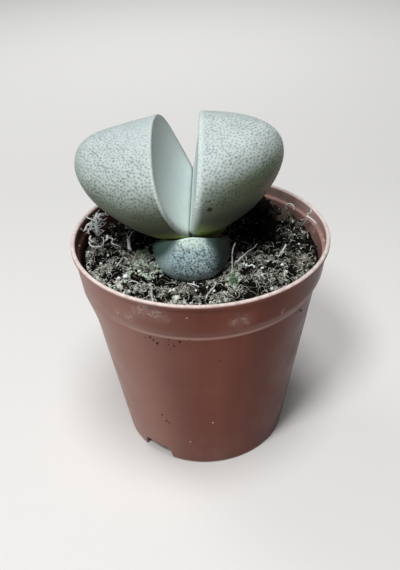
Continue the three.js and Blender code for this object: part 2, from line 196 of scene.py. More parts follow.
def ring_faces(rings, sides, first=0):
    """Quads between successive rings of the same number of points."""
    faces = []
    for start in range(first, first + (rings - 1) * sides, sides):
        for i in range(sides):
            j = (i + 1) % sides
            faces.append((start + i, start + sides + i, start + sides + j, start + j))
    return faces


def fan_faces(pole, first, sides):
    """Triangles from a pole to a ring."""
    return [(pole, first + i, first + (i + 1) % sides) for i in range(sides)]


def face_outwards(piece):
    shape = bmesh.new()
    shape.from_mesh(piece.data)
    bmesh.ops.recalc_face_normals(shape, faces=shape.faces)
    shape.to_mesh(piece.data)
    shape.free()


def closed_skin(name, points, sides, attributes=None):
    """A closed piece from two poles and then the rings of points between them."""
    rings = (len(points) - 2) // sides
    faces = ring_faces(rings, sides, 2)
    faces += fan_faces(0, 2, sides) + fan_faces(1, len(points) - sides, sides)
    piece = mesh_object(name, points, faces, attributes)
    face_outwards(piece)
    return piece


def level_ring(radius, z, sides):
    """A level ring of points round the axis, from the front towards +X."""
    turn = 2 * np.pi * np.arange(sides) / sides
    return np.stack([radius * np.sin(turn), -radius * np.cos(turn), np.full(sides, z)], 1)


def turned_mesh(name, outline, sides):
    """A solid of revolution from an outline that starts and ends on the axis."""
    poles = [(0, 0, outline[0][1]), (0, 0, outline[-1][1])]
    rings = [level_ring(radius, z, sides) for radius, z in outline[1:-1]]
    return closed_skin(name, np.vstack([poles, *rings]), sides)


def read_values(items, key, width):
    """A property of all vertices or of all values of an attribute, one row for each."""
    values = np.zeros(width * len(items), np.float32)
    items.foreach_get(key, values)
    return values.reshape(-1, width).astype(float)


def vertex_array(piece):
    """A piece's vertices in millimetres."""
    return read_values(piece.data.vertices, "co", 3) / MM


def normal_array(piece):
    return read_values(piece.data.vertex_normals, "vector", 3)


def values_of(piece, key):
    return read_values(piece.data.attributes[key].data, "value", 1)[:, 0]


def move_vertices(piece, points):
    """Puts a piece's vertices at points in millimetres."""
    piece.data.vertices.foreach_set("co", (points * MM).astype(np.float32).ravel())
    piece.data.update()


def add_attribute(piece, key, values):
    layer = piece.data.attributes.new(key, "FLOAT", "POINT")
    layer.data.foreach_set("value", np.asarray(values, np.float32))


def finish_piece(piece, material, slot, *nodes):
    """Gives a piece its material, lets it ride on the part, and hides the parts it stands for."""
    piece.data.materials.clear()
    piece.data.materials.append(material)
    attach(piece, "root")
    if nodes:
        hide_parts(*nodes)


def smoothstep(low, high, value):
    """From 0 at the first limit to 1 at the second, which may be the lower one."""
    share = np.clip((value - low) / (high - low), 0, 1)
    return share * share * (3 - 2 * share)


def signed_power(base, power):
    return np.sign(base) * np.abs(base) ** power


def unit(vectors):
    """A vector, or each row of an array, at length 1."""
    vectors = np.asarray(vectors, float)
    return vectors / np.maximum(np.linalg.norm(vectors, axis=-1, keepdims=True), 1e-6)


# Places named by where the photograph shows them


def sight(x, y):
    """The direction from the camera through a point of the picture."""
    across = (x - 0.5 * PICTURE_WIDTH) / FOCAL_PIXELS
    down = (y - 0.5 * PICTURE_HEIGHT) / FOCAL_PIXELS
    return CAMERA_FORWARD + across * CAMERA_RIGHT - down * CAMERA_UP


def surface_tree(piece):
    points = [tuple(point) for point in vertex_array(piece)]
    return BVHTree.FromPolygons(points, [tuple(face.vertices) for face in piece.data.polygons])


def seen_on(tree, x, y):
    """The place and normal of the surface seen at a point of the picture."""
    place, normal, _, _ = tree.ray_cast(CAMERA_PLACE, sight(x, y).normalized())
    return np.array(place), np.array(normal)


def seen_over_soil(x, y, rise):
    """The place seen at a point of the picture, at a height over the soil's level."""
    ray = sight(x, y)
    height = SOIL_LEVEL + rise
    for _ in range(6):
        place = CAMERA_PLACE + ray * (height - CAMERA_PLACE.z) / ray.z
        height = level_at(place.x, place.y) + rise
    return np.array(place)


def seen_on_wall(x, y, radius):
    """The place seen at a point of the picture on the far side of a cylinder round the pot's axis."""
    ray = sight(x, y)
    flat = ray.xy.length_squared
    along = CAMERA_PLACE.xy.dot(ray.xy) / flat
    left = (CAMERA_PLACE.xy.length_squared - radius * radius) / flat
    return np.array(CAMERA_PLACE + ray * (math.sqrt(max(along * along - left, 0)) - along))


# Materials


class Shader:
    """A short way to build a node material round one Principled shader."""

    def __init__(self, name, **sockets):
        self.material = bpy.data.materials.new(name)
        self.material.use_nodes = True
        self.nodes = self.material.node_tree.nodes
        self.links = self.material.node_tree.links
        self.surface = self.nodes["Principled BSDF"]
        self.place = self.node("ShaderNodeTexCoord").outputs["Object"]
        self.set(**sockets)

    def feed(self, node, inputs):
        """Sets or links a node's inputs. A string as a value stands for the attribute of that name."""
        for key, value in inputs.items():
            socket = node.inputs[key.replace("_", " ") if isinstance(key, str) else key]
            if isinstance(value, str):
                value = self.node("ShaderNodeAttribute", {"attribute_name": value}).outputs["Fac"]
            if isinstance(value, bpy.types.NodeSocket):
                self.links.new(value, socket)
            else:
                socket.default_value = value

    def set(self, **sockets):
        self.feed(self.surface, sockets)

    def node(self, kind, settings=None, **inputs):
        made = self.nodes.new(kind)
        for key, value in (settings or {}).items():
            setattr(made, key, value)
        self.feed(made, inputs)
        return made

    def noise(self, scale, detail, roughness=0.55, stretch=None):
        """Noise with a scale in features per metre, optionally stretched along an axis."""
        vector = self.place
        if stretch:
            vector = self.node("ShaderNodeMapping", Vector=vector, Scale=stretch).outputs["Vector"]
        inputs = {"Vector": vector, "Scale": scale, "Detail": detail, "Roughness": roughness}
        return self.node("ShaderNodeTexNoise", **inputs).outputs["Fac"]

    def ramp(self, value, *stops):
        """A colour ramp through (place, colour) stops."""
        made = self.node("ShaderNodeValToRGB", Fac=value)
        elements = made.color_ramp.elements
        while len(elements) < len(stops):
            elements.new(0.5)
        for element, (place, colour) in zip(elements, stops):
            element.position = place
            element.color = colour
        return made.outputs["Color"]

    def remap(self, value, low, high, to_low=0.0, to_high=1.0):
        limits = {"From_Min": low, "From_Max": high, "To_Min": to_low, "To_Max": to_high}
        return self.node("ShaderNodeMapRange", {"clamp": True}, Value=value, **limits).outputs["Result"]

    def mix(self, share, first, second):
        made = self.node("ShaderNodeMix", {"data_type": "RGBA"}, Factor=share)
        places = [i for i, socket in enumerate(made.inputs) if socket.type == "RGBA"]
        self.feed(made, dict(zip(places, (first, second))))
        return next(socket for socket in made.outputs if socket.type == "RGBA")

    def layered(self, colour, *layers):
        """A colour under (share, colour) layers, the last one on top."""
        for share, tint in layers:
            colour = self.mix(share, colour, tint)
        return colour

    def maths(self, operation, first, second):
        made = self.node("ShaderNodeMath", {"operation": operation})
        self.feed(made, {0: first, 1: second})
        return made.outputs[0]

    def bump(self, *layers):
        """Bump from (height, depth in mm) layers, the first one lowest."""
        below = {}
        for height, depth in layers:
            sizes = {"Height": height, "Distance": abs(depth) * MM}
            made = self.node("ShaderNodeBump", {"invert": depth < 0}, **sizes, **below)
            below = {"Normal": made.outputs["Normal"]}
        self.set(**below)


def srgb(red, green, blue):
    """A linear colour, with alpha, from 0-255 display values."""
    shares = np.array([red, green, blue]) / 255
    linear = np.where(shares <= 0.04045, shares / 12.92, ((shares + 0.055) / 1.055) ** 2.4)
    return (*linear.tolist(), 1.0)


# Pot


def body_radius(z):
    """The outer radius of the tapered body below the step."""
    return np.interp(z, (0, STEP_BOTTOM[1]), (FOOT_RADIUS, STEP_BOTTOM[0]))


def band_radius(z):
    """The outer radius of the band between the step and the lip."""
    lip_bottom = POT_HEIGHT - LIP_DEPTH
    return np.interp(z, (BAND_BOTTOM[1], lip_bottom), (BAND_BOTTOM[0], LIP_RADIUS - LIP_OVERHANG))


def rounded_outline(corners, steps=6):
    """Points along a polyline of (radius, z, fillet) corners, with an arc in each filleted corner."""
    points = []
    for i, (radius, z, fillet) in enumerate(corners):
        corner = np.array([radius, z])
        if fillet == 0:
            points.append(corner)
            continue
        before = unit(np.array(corners[i - 1][:2]) - corner)
        after = unit(np.array(corners[i + 1][:2]) - corner)
        half_angle = 0.5 * math.acos(float(np.clip(before @ after, -1, 1)))
        centre = corner + unit(before + after) * fillet / math.sin(half_angle)
        start = corner + before * fillet / math.tan(half_angle) - centre
        end = corner + after * fillet / math.tan(half_angle) - centre
        for step in range(steps + 1):
            points.append(centre + fillet * unit(start + (end - start) * step / steps))
    return points


def refined(outline, above, step):
    """The outline with its runs over a height split into short steps, so that masks can vary along them."""
    points = [outline[0]]
    for before, after in zip(outline, outline[1:]):
        run = float(np.linalg.norm(np.asarray(after) - before))
        parts = max(1, math.ceil(run / step)) if min(before[1], after[1]) > above else 1
        for part in range(1, parts + 1):
            points.append(np.asarray(before) + (np.asarray(after) - before) * part / parts)
    return points


def pot_corners():
    """The wall's outline, as (radius, z, fillet) corners."""
    lip_bottom = POT_HEIGHT - LIP_DEPTH
    lip_inner = LIP_RADIUS - WALL
    flare = STEP_BOTTOM[1] - STEP_FLARE
    ledge = POT_HEIGHT - LEDGE_DEPTH
    foot_inner = FOOT_RADIUS - FOOT_WALL
    return (
        (0, FLOOR_UNDERSIDE, 0),
        (foot_inner, FLOOR_UNDERSIDE, 0.4),
        (foot_inner, 0, 0.12),
        (body_radius(0), 0, 0.8),
        (body_radius(flare), flare, 0),
        (*STEP_BOTTOM, 0.25),
        (*BAND_BOTTOM, 3.5),
        (band_radius(lip_bottom), lip_bottom, 0.12),
        (LIP_RADIUS, lip_bottom + 0.3, 0.2),
        (LIP_RADIUS, POT_HEIGHT, 0.42),
        (lip_inner, POT_HEIGHT, 0.42),
        (lip_inner, ledge, 0.08),
        (band_radius(ledge) - WALL, ledge - LEDGE_SLOPE, 0.3),
        (BAND_BOTTOM[0] - WALL, BAND_BOTTOM[1], 0.6),
        (STEP_BOTTOM[0] - WALL, STEP_BOTTOM[1], 0.6),
        (body_radius(FLOOR_TOP) - WALL, FLOOR_TOP, 0.8),
        (0, FLOOR_TOP, 0),
    )


def prism(name, outline, low, high, origin, axes):
    """A prism whose outline lies along two axes, between two distances along the third."""
    points = np.array([(a, b, distance) for distance in (low, high) for a, b in outline])
    count = len(outline)
    faces = ring_faces(2, count)
    faces += [tuple(range(count)), tuple(range(2 * count - 1, count - 1, -1))]
    piece = mesh_object(name, np.asarray(origin) + points @ np.stack(axes), faces)
    face_outwards(piece)
    return piece


def around_pot(angle):
    """Unit vectors out of the pot, across and up, at an angle round it from the front."""
    turn = math.radians(angle)
    return (math.sin(turn), -math.cos(turn), 0), (math.cos(turn), math.sin(turn), 0), (0, 0, 1)


def notch_cutter(angle):
    """What leaves a flat arch with flared sides in the foot."""
    out, across, up = around_pot(angle)
    top = 0.5 * NOTCH_TOP
    foot = 0.5 * NOTCH_FOOT
    side = [(foot, -1.0)]
    for share in np.linspace(0, 1, 13):
        weights = ((1 - share) ** 3, 3 * share * (1 - share) ** 2, 3 * share**2 * (1 - share), share**3)
        x = np.dot(weights, (foot, NOTCH_FLARE * foot, foot, top))
        z = np.dot(weights, (0, 0, NOTCH_HEIGHT, NOTCH_HEIGHT))
        side.append((x, z))
    outline = side + [(-x, z) for x, z in reversed(side)]
    reach = (FOOT_RADIUS - 4 * WALL, FOOT_RADIUS + 4 * WALL)
    return prism("notch_cutter", outline, *reach, (0, 0, 0), (across, up, out))


def slot_cutter(angle):
    """What leaves a slot with round ends through the floor, behind a notch."""
    out, across, up = around_pot(angle)
    end = 0.5 * SLOT_WIDTH
    straight = 0.5 * SLOT_LENGTH - end
    outline = []
    for side in (1, -1):
        for turn in np.radians(np.linspace(-90, 90, 9)):
            outline.append((side * (straight + end * math.cos(turn)), side * end * math.sin(turn)))
    reach = (FLOOR_UNDERSIDE - 1, FLOOR_TOP + 1)
    return prism("slot_cutter", outline, *reach, SLOT_RADIUS * np.array(out), (across, out, up))


def cut_away(piece, cutters):
    """Takes the cutters out of the piece, softens the edges they leave and removes them."""
    for cutter in cutters:
        modifier = piece.modifiers.new("cut", "BOOLEAN")
        modifier.object = cutter
        modifier.operation = "DIFFERENCE"
        modifier.solver = "EXACT"
    bevel = piece.modifiers.new("soft_edges", "BEVEL")
    bevel.width = SOFT_EDGE * MM
    bevel.segments = 2
    bevel.limit_method = "ANGLE"
    bevel.angle_limit = math.radians(50)
    ready = piece.evaluated_get(bpy.context.evaluated_depsgraph_get())
    made = bpy.data.meshes.new_from_object(ready)
    piece.modifiers.clear()
    piece.data = made
    for cutter in cutters:
        bpy.data.objects.remove(cutter)


def pot_material():
    """Terracotta plastic, paler on its left with painted light, dull and pale inside with chalk and painted
    light, darker with painted shade inside on the left and outside on the right, dusty on the band, with a
    pale line of dust and painted highlight along the step and a lip paled by wear and a painted highlight.
    """
    shader = Shader("pot_plastic", IOR=1.5, Specular_IOR_Level=0.13)
    height = shader.node("ShaderNodeSeparateXYZ", Vector=shader.place).outputs["Z"]
    streaks = shader.noise(75, 3, stretch=(1, 1, 0.1))
    cloud = shader.noise(110, 4)
    haze_and_light_share = shader.remap(cloud, 0.4, 0.72, 0.05, 0.12)
    pale_patches = shader.remap(shader.noise(420, 4, 0.65), 0.3, 0.7, 0.6, 0.9)
    flecks = shader.remap(shader.noise(1300, 3, 0.7), 0.5, 0.66, 0.16, 0.8)
    wear_and_highlight = shader.remap(shader.noise(900, 3), 0.3, 0.6, 0.6, 0.95)
    lip = shader.remap(height, (POT_HEIGHT - 0.5) * MM, (POT_HEIGHT - 0.12) * MM)
    plastic = shader.layered(
        shader.ramp(streaks, (0.36, srgb(97, 46, 32)), (0.64, srgb(115, 57, 41))),
        # dust haze with painted light, on the left and most towards the foot
        (shader.maths("MULTIPLY", "haze_and_painted_light", haze_and_light_share), srgb(176, 138, 128)),
        # painted light: the left side paler
        (shader.maths("MULTIPLY", "painted_left_light", 0.75), srgb(174, 132, 121)),
        # paler inside with chalk and painted light
        (shader.maths("MULTIPLY", "chalk_and_painted_light", pale_patches), srgb(240, 206, 198)),
        # painted shade inside on the left and outside on the right
        ("painted_shade", srgb(58, 30, 24)),
        # pale line of dust and painted highlight along the step
        (shader.maths("MULTIPLY", "crease_dust_and_highlight", 0.45), srgb(222, 184, 170)),
        (shader.maths("MULTIPLY", "dust", flecks), srgb(204, 180, 174)),
        # the lip's top paled by wear and a painted highlight
        (shader.maths("MULTIPLY", lip, wear_and_highlight), srgb(240, 224, 219)),
    )
    shader.set(Base_Color=plastic, Roughness=shader.remap(cloud, 0.35, 0.7, 0.3, 0.46))
    shader.bump((shader.noise(45, 2), 0.25), (shader.noise(2600, 2), 0.012))
    return shader.material


# Where the band is dusty: picture x and y, and reach in mm
DUST = (
    (118.5, 313, 0.9), (128, 316, 1.1), (136, 311, 1), (143, 309, 1.3), (151, 313, 1.1), (158, 315, 1),
    (164, 318, 0.9), (187, 318, 0.3), (236, 323, 1.2), (244, 321, 1.4), (282, 312, 0.4),
)


def add_pot_masks(pot):
    """Where the pot takes chalk and painted light inside, painted shade, painted light on its left, dust haze
    with painted light, a pale line of dust and painted highlight at the step, and dust.
    """
    points = vertex_array(pot)
    tree = surface_tree(pot)
    x, y, height = points.T
    radius = np.hypot(x, y)
    outer = np.where(height > BAND_BOTTOM[1], band_radius(height), body_radius(height))
    inner = smoothstep(0.08, 0.25, outer - radius)
    to_right = x / np.maximum(radius, 1)
    to_back = y / np.maximum(radius, 1)
    # Chalk and painted light inside: paler towards the right, and most in the band under the lip
    chalk_and_light = smoothstep(-24, 8, x) * np.where(height > POT_HEIGHT - LEDGE_DEPTH, 1, 0.42)
    # Painted shade: inside on the left, under the leaf and rim, and outside on the right side
    left_inside_shade = inner * smoothstep(-8, -19, x) * (height < POT_HEIGHT - 0.8)
    right_outside_shade = (1 - inner) * smoothstep(0.35, 1.0, to_right)
    # A pale line of dust and painted highlight along the step's crease, on the front, fading out to the left
    # and right
    crease_dust_and_highlight = np.exp(-(((height - STEP_BOTTOM[1]) / 0.14) ** 2)) * (np.abs(outer - radius) < 0.4)
    crease_dust_and_highlight *= smoothstep(0.0, -0.95, to_back) * smoothstep(-20, -12, x) * (1 - 0.5 * smoothstep(6, 20, x))
    dust = np.zeros(len(points))
    for spot_x, spot_y, reach in DUST:
        away = np.linalg.norm(points - seen_on(tree, spot_x, spot_y)[0], axis=1)
        dust = np.maximum(dust, np.exp(-((away / reach) ** 2)))
    add_attribute(pot, "chalk_and_painted_light", chalk_and_light * inner)
    add_attribute(pot, "painted_shade", 0.84 * left_inside_shade + 0.6 * right_outside_shade)
    # Painted light: paler towards the left side
    add_attribute(pot, "painted_left_light", smoothstep(0.05, -0.9, to_right))
    # Dust haze with painted light: none on the right side, and stronger towards the foot
    add_attribute(pot, "haze_and_painted_light", (1 - smoothstep(0.1, 0.6, to_right)) * (1 + 2.1 * smoothstep(14, 0, height)))
    add_attribute(pot, "crease_dust_and_highlight", crease_dust_and_highlight)
    add_attribute(pot, "dust", dust)


def press_step(pot):
    """Fades the step out on the front left, where the pot is pressed almost straight."""
    points = vertex_array(pot)
    x, y, height = points.T
    radius = np.hypot(x, y)
    depth = BAND_BOTTOM[0] - body_radius(BAND_BOTTOM[1])
    pressed = body_radius(height) + depth * smoothstep(33, 46, height)
    share = smoothstep(-15, -21.5, x) * smoothstep(12, 0, y)
    share *= (radius > body_radius(height) - 0.5 * WALL) & (height < BAND_BOTTOM[1] + 1)
    grown = 1 + share * np.maximum(pressed - radius, 0) / np.maximum(radius, 1)
    move_vertices(pot, np.stack([grown * x, grown * y, height], 1))


def make_pot():
    outline = refined(rounded_outline(pot_corners()), 0.5 * LIP_DEPTH, OUTLINE_STEP)
    pot = turned_mesh("pot_skin", outline, POT_SEGMENTS)
    cutters = [notch_cutter(angle) for angle in NOTCH_ANGLES]
    cutters += [slot_cutter(angle) for angle in NOTCH_ANGLES]
    cut_away(pot, cutters)
    press_step(pot)
    pot.data.shade_smooth()
    pot.data.set_sharp_from_angle(angle=math.radians(32))
    add_pot_masks(pot)
    finish_piece(pot, pot_material(), "pot_plastic", "pot")
    return pot


# Crumbs of soil and pale grit stuck on the pot: picture x and y, and size in mm
DARK_SPECKS = (
    (145.3, 337.4, 0.16), (150.1, 337.4, 0.24), (153.4, 339.8, 0.24), (157.2, 343.1, 0.3),
    (168.7, 339.3, 0.16), (168.3, 344.5, 0.18), (174, 346, 0.22), (179.7, 341.7, 0.32),
    (189.3, 340.2, 0.12), (170.2, 349.3, 0.1), (219.4, 360.8, 0.16), (296, 312.8, 0.16),
    (300.8, 310.4, 0.24), (162.2, 414.7, 0.22), (166.5, 420.8, 0.26), (169.2, 422.5, 0.22),
)
PALE_SPECKS = (
    (212.8, 422.6, 0.2), (190.5, 441.6, 0.16), (118.3, 312.8, 0.2), (142.2, 309.6, 0.18),
    (186.9, 318.2, 0.16), (79.4, 246, 0.3), (324, 240.5, 0.3),
)


def make_specks(pot):
    rng = random.Random(14)
    tree = surface_tree(pot)
    specks = Fused()
    for tone, spots in ((0.0, DARK_SPECKS), (1.0, PALE_SPECKS)):
        for x, y, size in spots:
            specks.add(lump(2, size, rng, 0.6), tone, seen_on(tree, x, y)[0])
    specks.piece("pot_specks", tone_material("speck"))


# Leaves


def leaf_axes(out, across, lean):
    """A leaf's directions across, up its face and out of its dome, for a face laid back by the lean."""
    out = unit(out)
    across = unit(across)
    up = np.cross(out, across)
    up = up * np.sign(up[2])
    cos = math.cos(math.radians(lean))
    sin = math.sin(math.radians(lean))
    return across, cos * up + sin * out, cos * out - sin * up


def new_leaf_axes(leaf, side):
    """Side is 1 for the right leaf and -1 for the left one."""
    turn = math.radians(FISSURE_TURN)
    rise = math.radians(FISSURE_RISE)
    out = (side * math.cos(turn), -side * math.sin(turn), 0)
    return leaf_axes(out, (math.sin(turn), math.cos(turn), math.tan(rise)), leaf["lean"])


def old_leaf_axes(half):
    """Half is 1 for the front leaf of the old pair and -1 for the back one."""
    turn = math.radians(OLD_TURN)
    tilt = math.radians(OLD_TILT)
    out = (half * math.sin(turn), -half * math.cos(turn), 0)
    return leaf_axes(out, (half * math.cos(turn), half * math.sin(turn), math.tan(tilt)), OLD_LEAF["lean"])


def leaf_skin(leaf, sides, face_rings, edge_steps, dome_steps):
    """A leaf's points in its own directions, their distances from the margin, and 1 for those on the dome."""
    centre = leaf["centre"]
    edge = leaf["edge"]
    angle = 2 * np.pi * np.arange(sides) / sides
    reach = np.where(np.cos(angle) > 0, leaf["above"], leaf["below"])
    margin_s = leaf["half_width"] * signed_power(np.sin(angle), leaf["side_curve"])
    margin_t = centre + reach * signed_power(np.cos(angle), leaf["end_curve"])

    def hollow(t):
        part = np.clip(t / (centre + leaf["above"]), 0, 1)
        return 4 * leaf["hollow"] * part * (1 - part)

    def face_ring(share):
        t = centre + share * (margin_t - centre)
        return np.stack([share * margin_s, t, hollow(t)], 1)

    rim = edge / leaf["half_width"]
    rings = [face_ring(share) for share in np.linspace(0, 1 - rim, face_rings + 1)[1:-1]]
    for turn in np.linspace(0, 0.5 * np.pi, edge_steps + 1):
        ring = face_ring(1 - rim * (1 - math.sin(turn)))
        ring[:, 2] += edge * (1 - math.cos(turn))
        rings.append(ring)
    for step in np.linspace(0, 1, dome_steps + 1)[1:-1]:
        out = math.sin(0.5 * math.pi * step)
        width = (1 - out ** leaf["across"]) ** (1 / leaf["across"])
        closing = (1 - out ** leaf["upright"]) ** (1 / leaf["upright"])
        t = centre + out ** leaf["drift"] * (leaf["height"] - centre) + closing * (margin_t - centre)
        n = leaf["depth"] * out + closing * (hollow(margin_t) + edge)
        rings.append(np.stack([width * margin_s, t, n], 1))
    poles = [(0, centre, hollow(centre)), (0, leaf["height"], leaf["depth"])]
    margin = face_rings + edge_steps // 2
    gaps = [np.linalg.norm(ring - rings[margin], axis=1) for ring in rings]
    on_dome = np.repeat(np.arange(len(rings)) > margin, sides)
    return (
        np.vstack([poles, *rings]),
        np.concatenate([(leaf["half_width"], leaf["depth"]), *gaps]),
        np.concatenate([(0, 1), on_dome]).astype(float),
    )


def leaf_piece(name, leaf, place, axes, fineness, reshape):
    """A leaf's closed skin at its place, with its points moved by the reshape function."""
    skin, gaps, on_dome = leaf_skin(leaf, *fineness)
    points = reshape(place + skin @ np.stack(axes), skin, gaps)
    return closed_skin(name, points, fineness[0], {"from_margin": gaps, "on_dome": on_dome})


def drawn_down(points):
    """Draws the underside of the new leaves down to the neck."""
    away = np.hypot(*(points - FISSURE_PLACE)[:, :2].T)
    near = 1 - smoothstep(NECK["radius"], NECK["reach"], away)
    low = 1 - smoothstep(NECK["bottom"], NECK["top"], points[:, 2])
    moved = points.copy()
    moved[:, 2] -= NECK["drop"] * near * low
    return moved


def kept_to_side(points, side):
    """Flattens a new leaf where it meets the other one, on the plane midway between the two faces."""
    left = new_leaf_axes(LEFT_LEAF, -1)
    right = new_leaf_axes(RIGHT_LEAF, 1)
    away = side * unit(right[2] - left[2])
    depth = (points - FISSURE_PLACE) @ away - 0.5 * SLIT
    return points - np.outer(np.minimum(depth, 0), away)


def wavy(points, size, depth, seed):
    """Soft noise for each point, between -depth and depth, with features of the given size."""
    shift = Vector((seed, 2.7 * seed, -1.3 * seed))
    return np.array([depth * noise.noise(Vector(point) / size + shift) for point in points])


def add_swell(piece, size, depth, seed, where=1.0):
    """Moves the skin in and out a little along its normals."""
    points = vertex_array(piece)
    swell = where * wavy(points, size, depth, seed)
    move_vertices(piece, points + normal_array(piece) * swell[:, None])


def chosen_apart(points, spacing, rng):
    """A random choice of points with no two nearer than the spacing."""
    taken = {}
    cells = np.floor(points / spacing).astype(int)
    near = [(i, j, k) for i in (-1, 0, 1) for j in (-1, 0, 1) for k in (-1, 0, 1)]
    kept = []
    for index in rng.sample(range(len(points)), len(points)):
        cell = tuple(cells[index])
        point = points[index]
        neighbours = (taken.get((cell[0] + i, cell[1] + j, cell[2] + k)) for i, j, k in near)
        if any(other is not None and np.sum((other - point) ** 2) < spacing**2 for other in neighbours):
            continue
        taken[cell] = point
        kept.append(index)
    return kept


def dotted(piece, seed, strength, spacing, least, most, stretch):
    """Adds an attribute that is up to 1 in the skin's small dark dots and 0 between them."""
    rng = random.Random(seed)
    points = vertex_array(piece)
    open_skin = np.nonzero(strength > 0.01)[0]
    dots = [open_skin[i] for i in chosen_apart(points[open_skin], spacing, rng)]
    tree = KDTree(len(dots))
    shapes = []
    for i, index in enumerate(dots):
        tree.insert(points[index], i)
        along = Vector([rng.gauss(0, 1) for _ in range(3)]).normalized()
        shapes.append((rng.uniform(least, most), along, rng.uniform(1, stretch), rng.uniform(0.65, 1)))
    tree.balance()
    dot = np.zeros(len(points))
    for index in open_skin:
        centre, i, _ = tree.find(points[index])
        radius, along, longer, depth = shapes[i]
        offset = Vector(points[index]) - centre
        run = offset.dot(along)
        distance = math.sqrt(max(offset.length_squared - run * run * (1 - 1 / longer**2), 0))
        dot[index] = depth * min(max((radius - distance) / DOT_EDGE + 0.5, 0), 1)
    add_attribute(piece, "dots", dot * strength)


def leaf_material(name, skin, face, low, bloom_and_painted_light, dot_colour):
    """Waxy skin with dots and a few brown marks, a pale rim along the margin that is partly painted light, a
    yellow-green base brightened as a painted glow, a brown blush, and painted light and shade: the flat face
    paler low down, the top paler with waxy bloom, and the underside darker.
    """
    shader = Shader(
        name,
        IOR=1.4,
        Subsurface_Weight=0.1,
        Subsurface_Radius=(0.8, 1.0, 0.6),
        Subsurface_Scale=1.2 * MM,
    )
    mottle = shader.noise(260, 4)
    fine = shader.noise(1500, 3, 0.6)
    dome = shader.ramp(mottle, (0.3, skin[0]), (0.7, skin[1]))
    tint = shader.remap(shader.noise(70, 2), 0.42, 0.62, 0.0, 0.35)
    dome = shader.mix(tint, dome, shader.mix(0.5, dome, srgb(196, 212, 220)))
    dome = shader.mix(shader.remap(fine, 0.35, 0.75, 0.0, 0.25), dome, skin[1])
    # painted light: the flat face goes from its shaded colour to its lit one
    lit = shader.mix("painted_face_light", face[0], face[1])
    flat = shader.mix(shader.remap(mottle, 0.3, 0.7, 0.0, 0.18), lit, face[0])
    colour = shader.layered(
        flat,
        ("on_dome", dome),
        # painted shade towards the underside, in the dark olive of the lower skin
        ("painted_under_shade", low),
        # waxy bloom and painted light, paler where lit from above
        ("bloom_and_painted_light", bloom_and_painted_light),
        # yellow-green of the base, brightened as a painted glow
        ("base_green_and_painted_glow", srgb(190, 206, 116)),
        # brown blush and painted shade
        ("blush_and_painted_shade", srgb(128, 104, 88)),
        ("shade", srgb(34, 44, 40)),
        ("rim", srgb(226, 240, 235)),
        # dots darker in the painted shade
        ("dots", shader.mix("painted_under_shade", dot_colour, srgb(34, 44, 38))),
        ("marks", srgb(30, 28, 12)),
    )
    shader.set(Base_Color=colour, Roughness=shader.remap(mottle, 0.3, 0.7, 0.5, 0.64))
    shader.bump((shader.noise(500, 3), 0.12), (fine, 0.03), ("dots", -0.05))
    return shader.material


def dress_leaf(piece, node, material, slot, masks):
    """Gives a leaf its masks, each of them 0 where none is given, and its material."""
    for key in ("painted_under_shade", "painted_face_light", "bloom_and_painted_light", "base_green_and_painted_glow", "blush_and_painted_shade", "shade", "rim", "marks"):
        add_attribute(piece, key, masks.get(key, np.zeros(len(piece.data.vertices))))
    finish_piece(piece, material, slot, node)


def near_point(points, centre, radius, soft):
    """1 within a radius of a point, falling to 0 over the soft distance."""
    distance = np.linalg.norm(points - np.asarray(centre), axis=1)
    return 1 - smoothstep(radius, radius + soft, distance)


# How much painted shade darkens the left and right leaf towards the underside, from 0 to 1: a start, and
# shares of the skin's normal and of its place in mm
PAINTED_UNDERSIDE_SHADE = {
    -1: (0.7, (0.48, -0.44, -0.44), (-0.015, 0.01, -0.004)),
    1: (4.05, (-0.29, -0.78, 0.19), (0.075, -0.021, -0.07)),
}
# The foot of the fissure: picture x and y, and height over the soil's level in mm
FISSURE_FOOT = (187, 236, 6.5)
# Brown marks on the right leaf: picture x and y, and radius in mm
MARKS = ((209.8, 209.6, 0.38), (201.6, 233.0, 0.3))


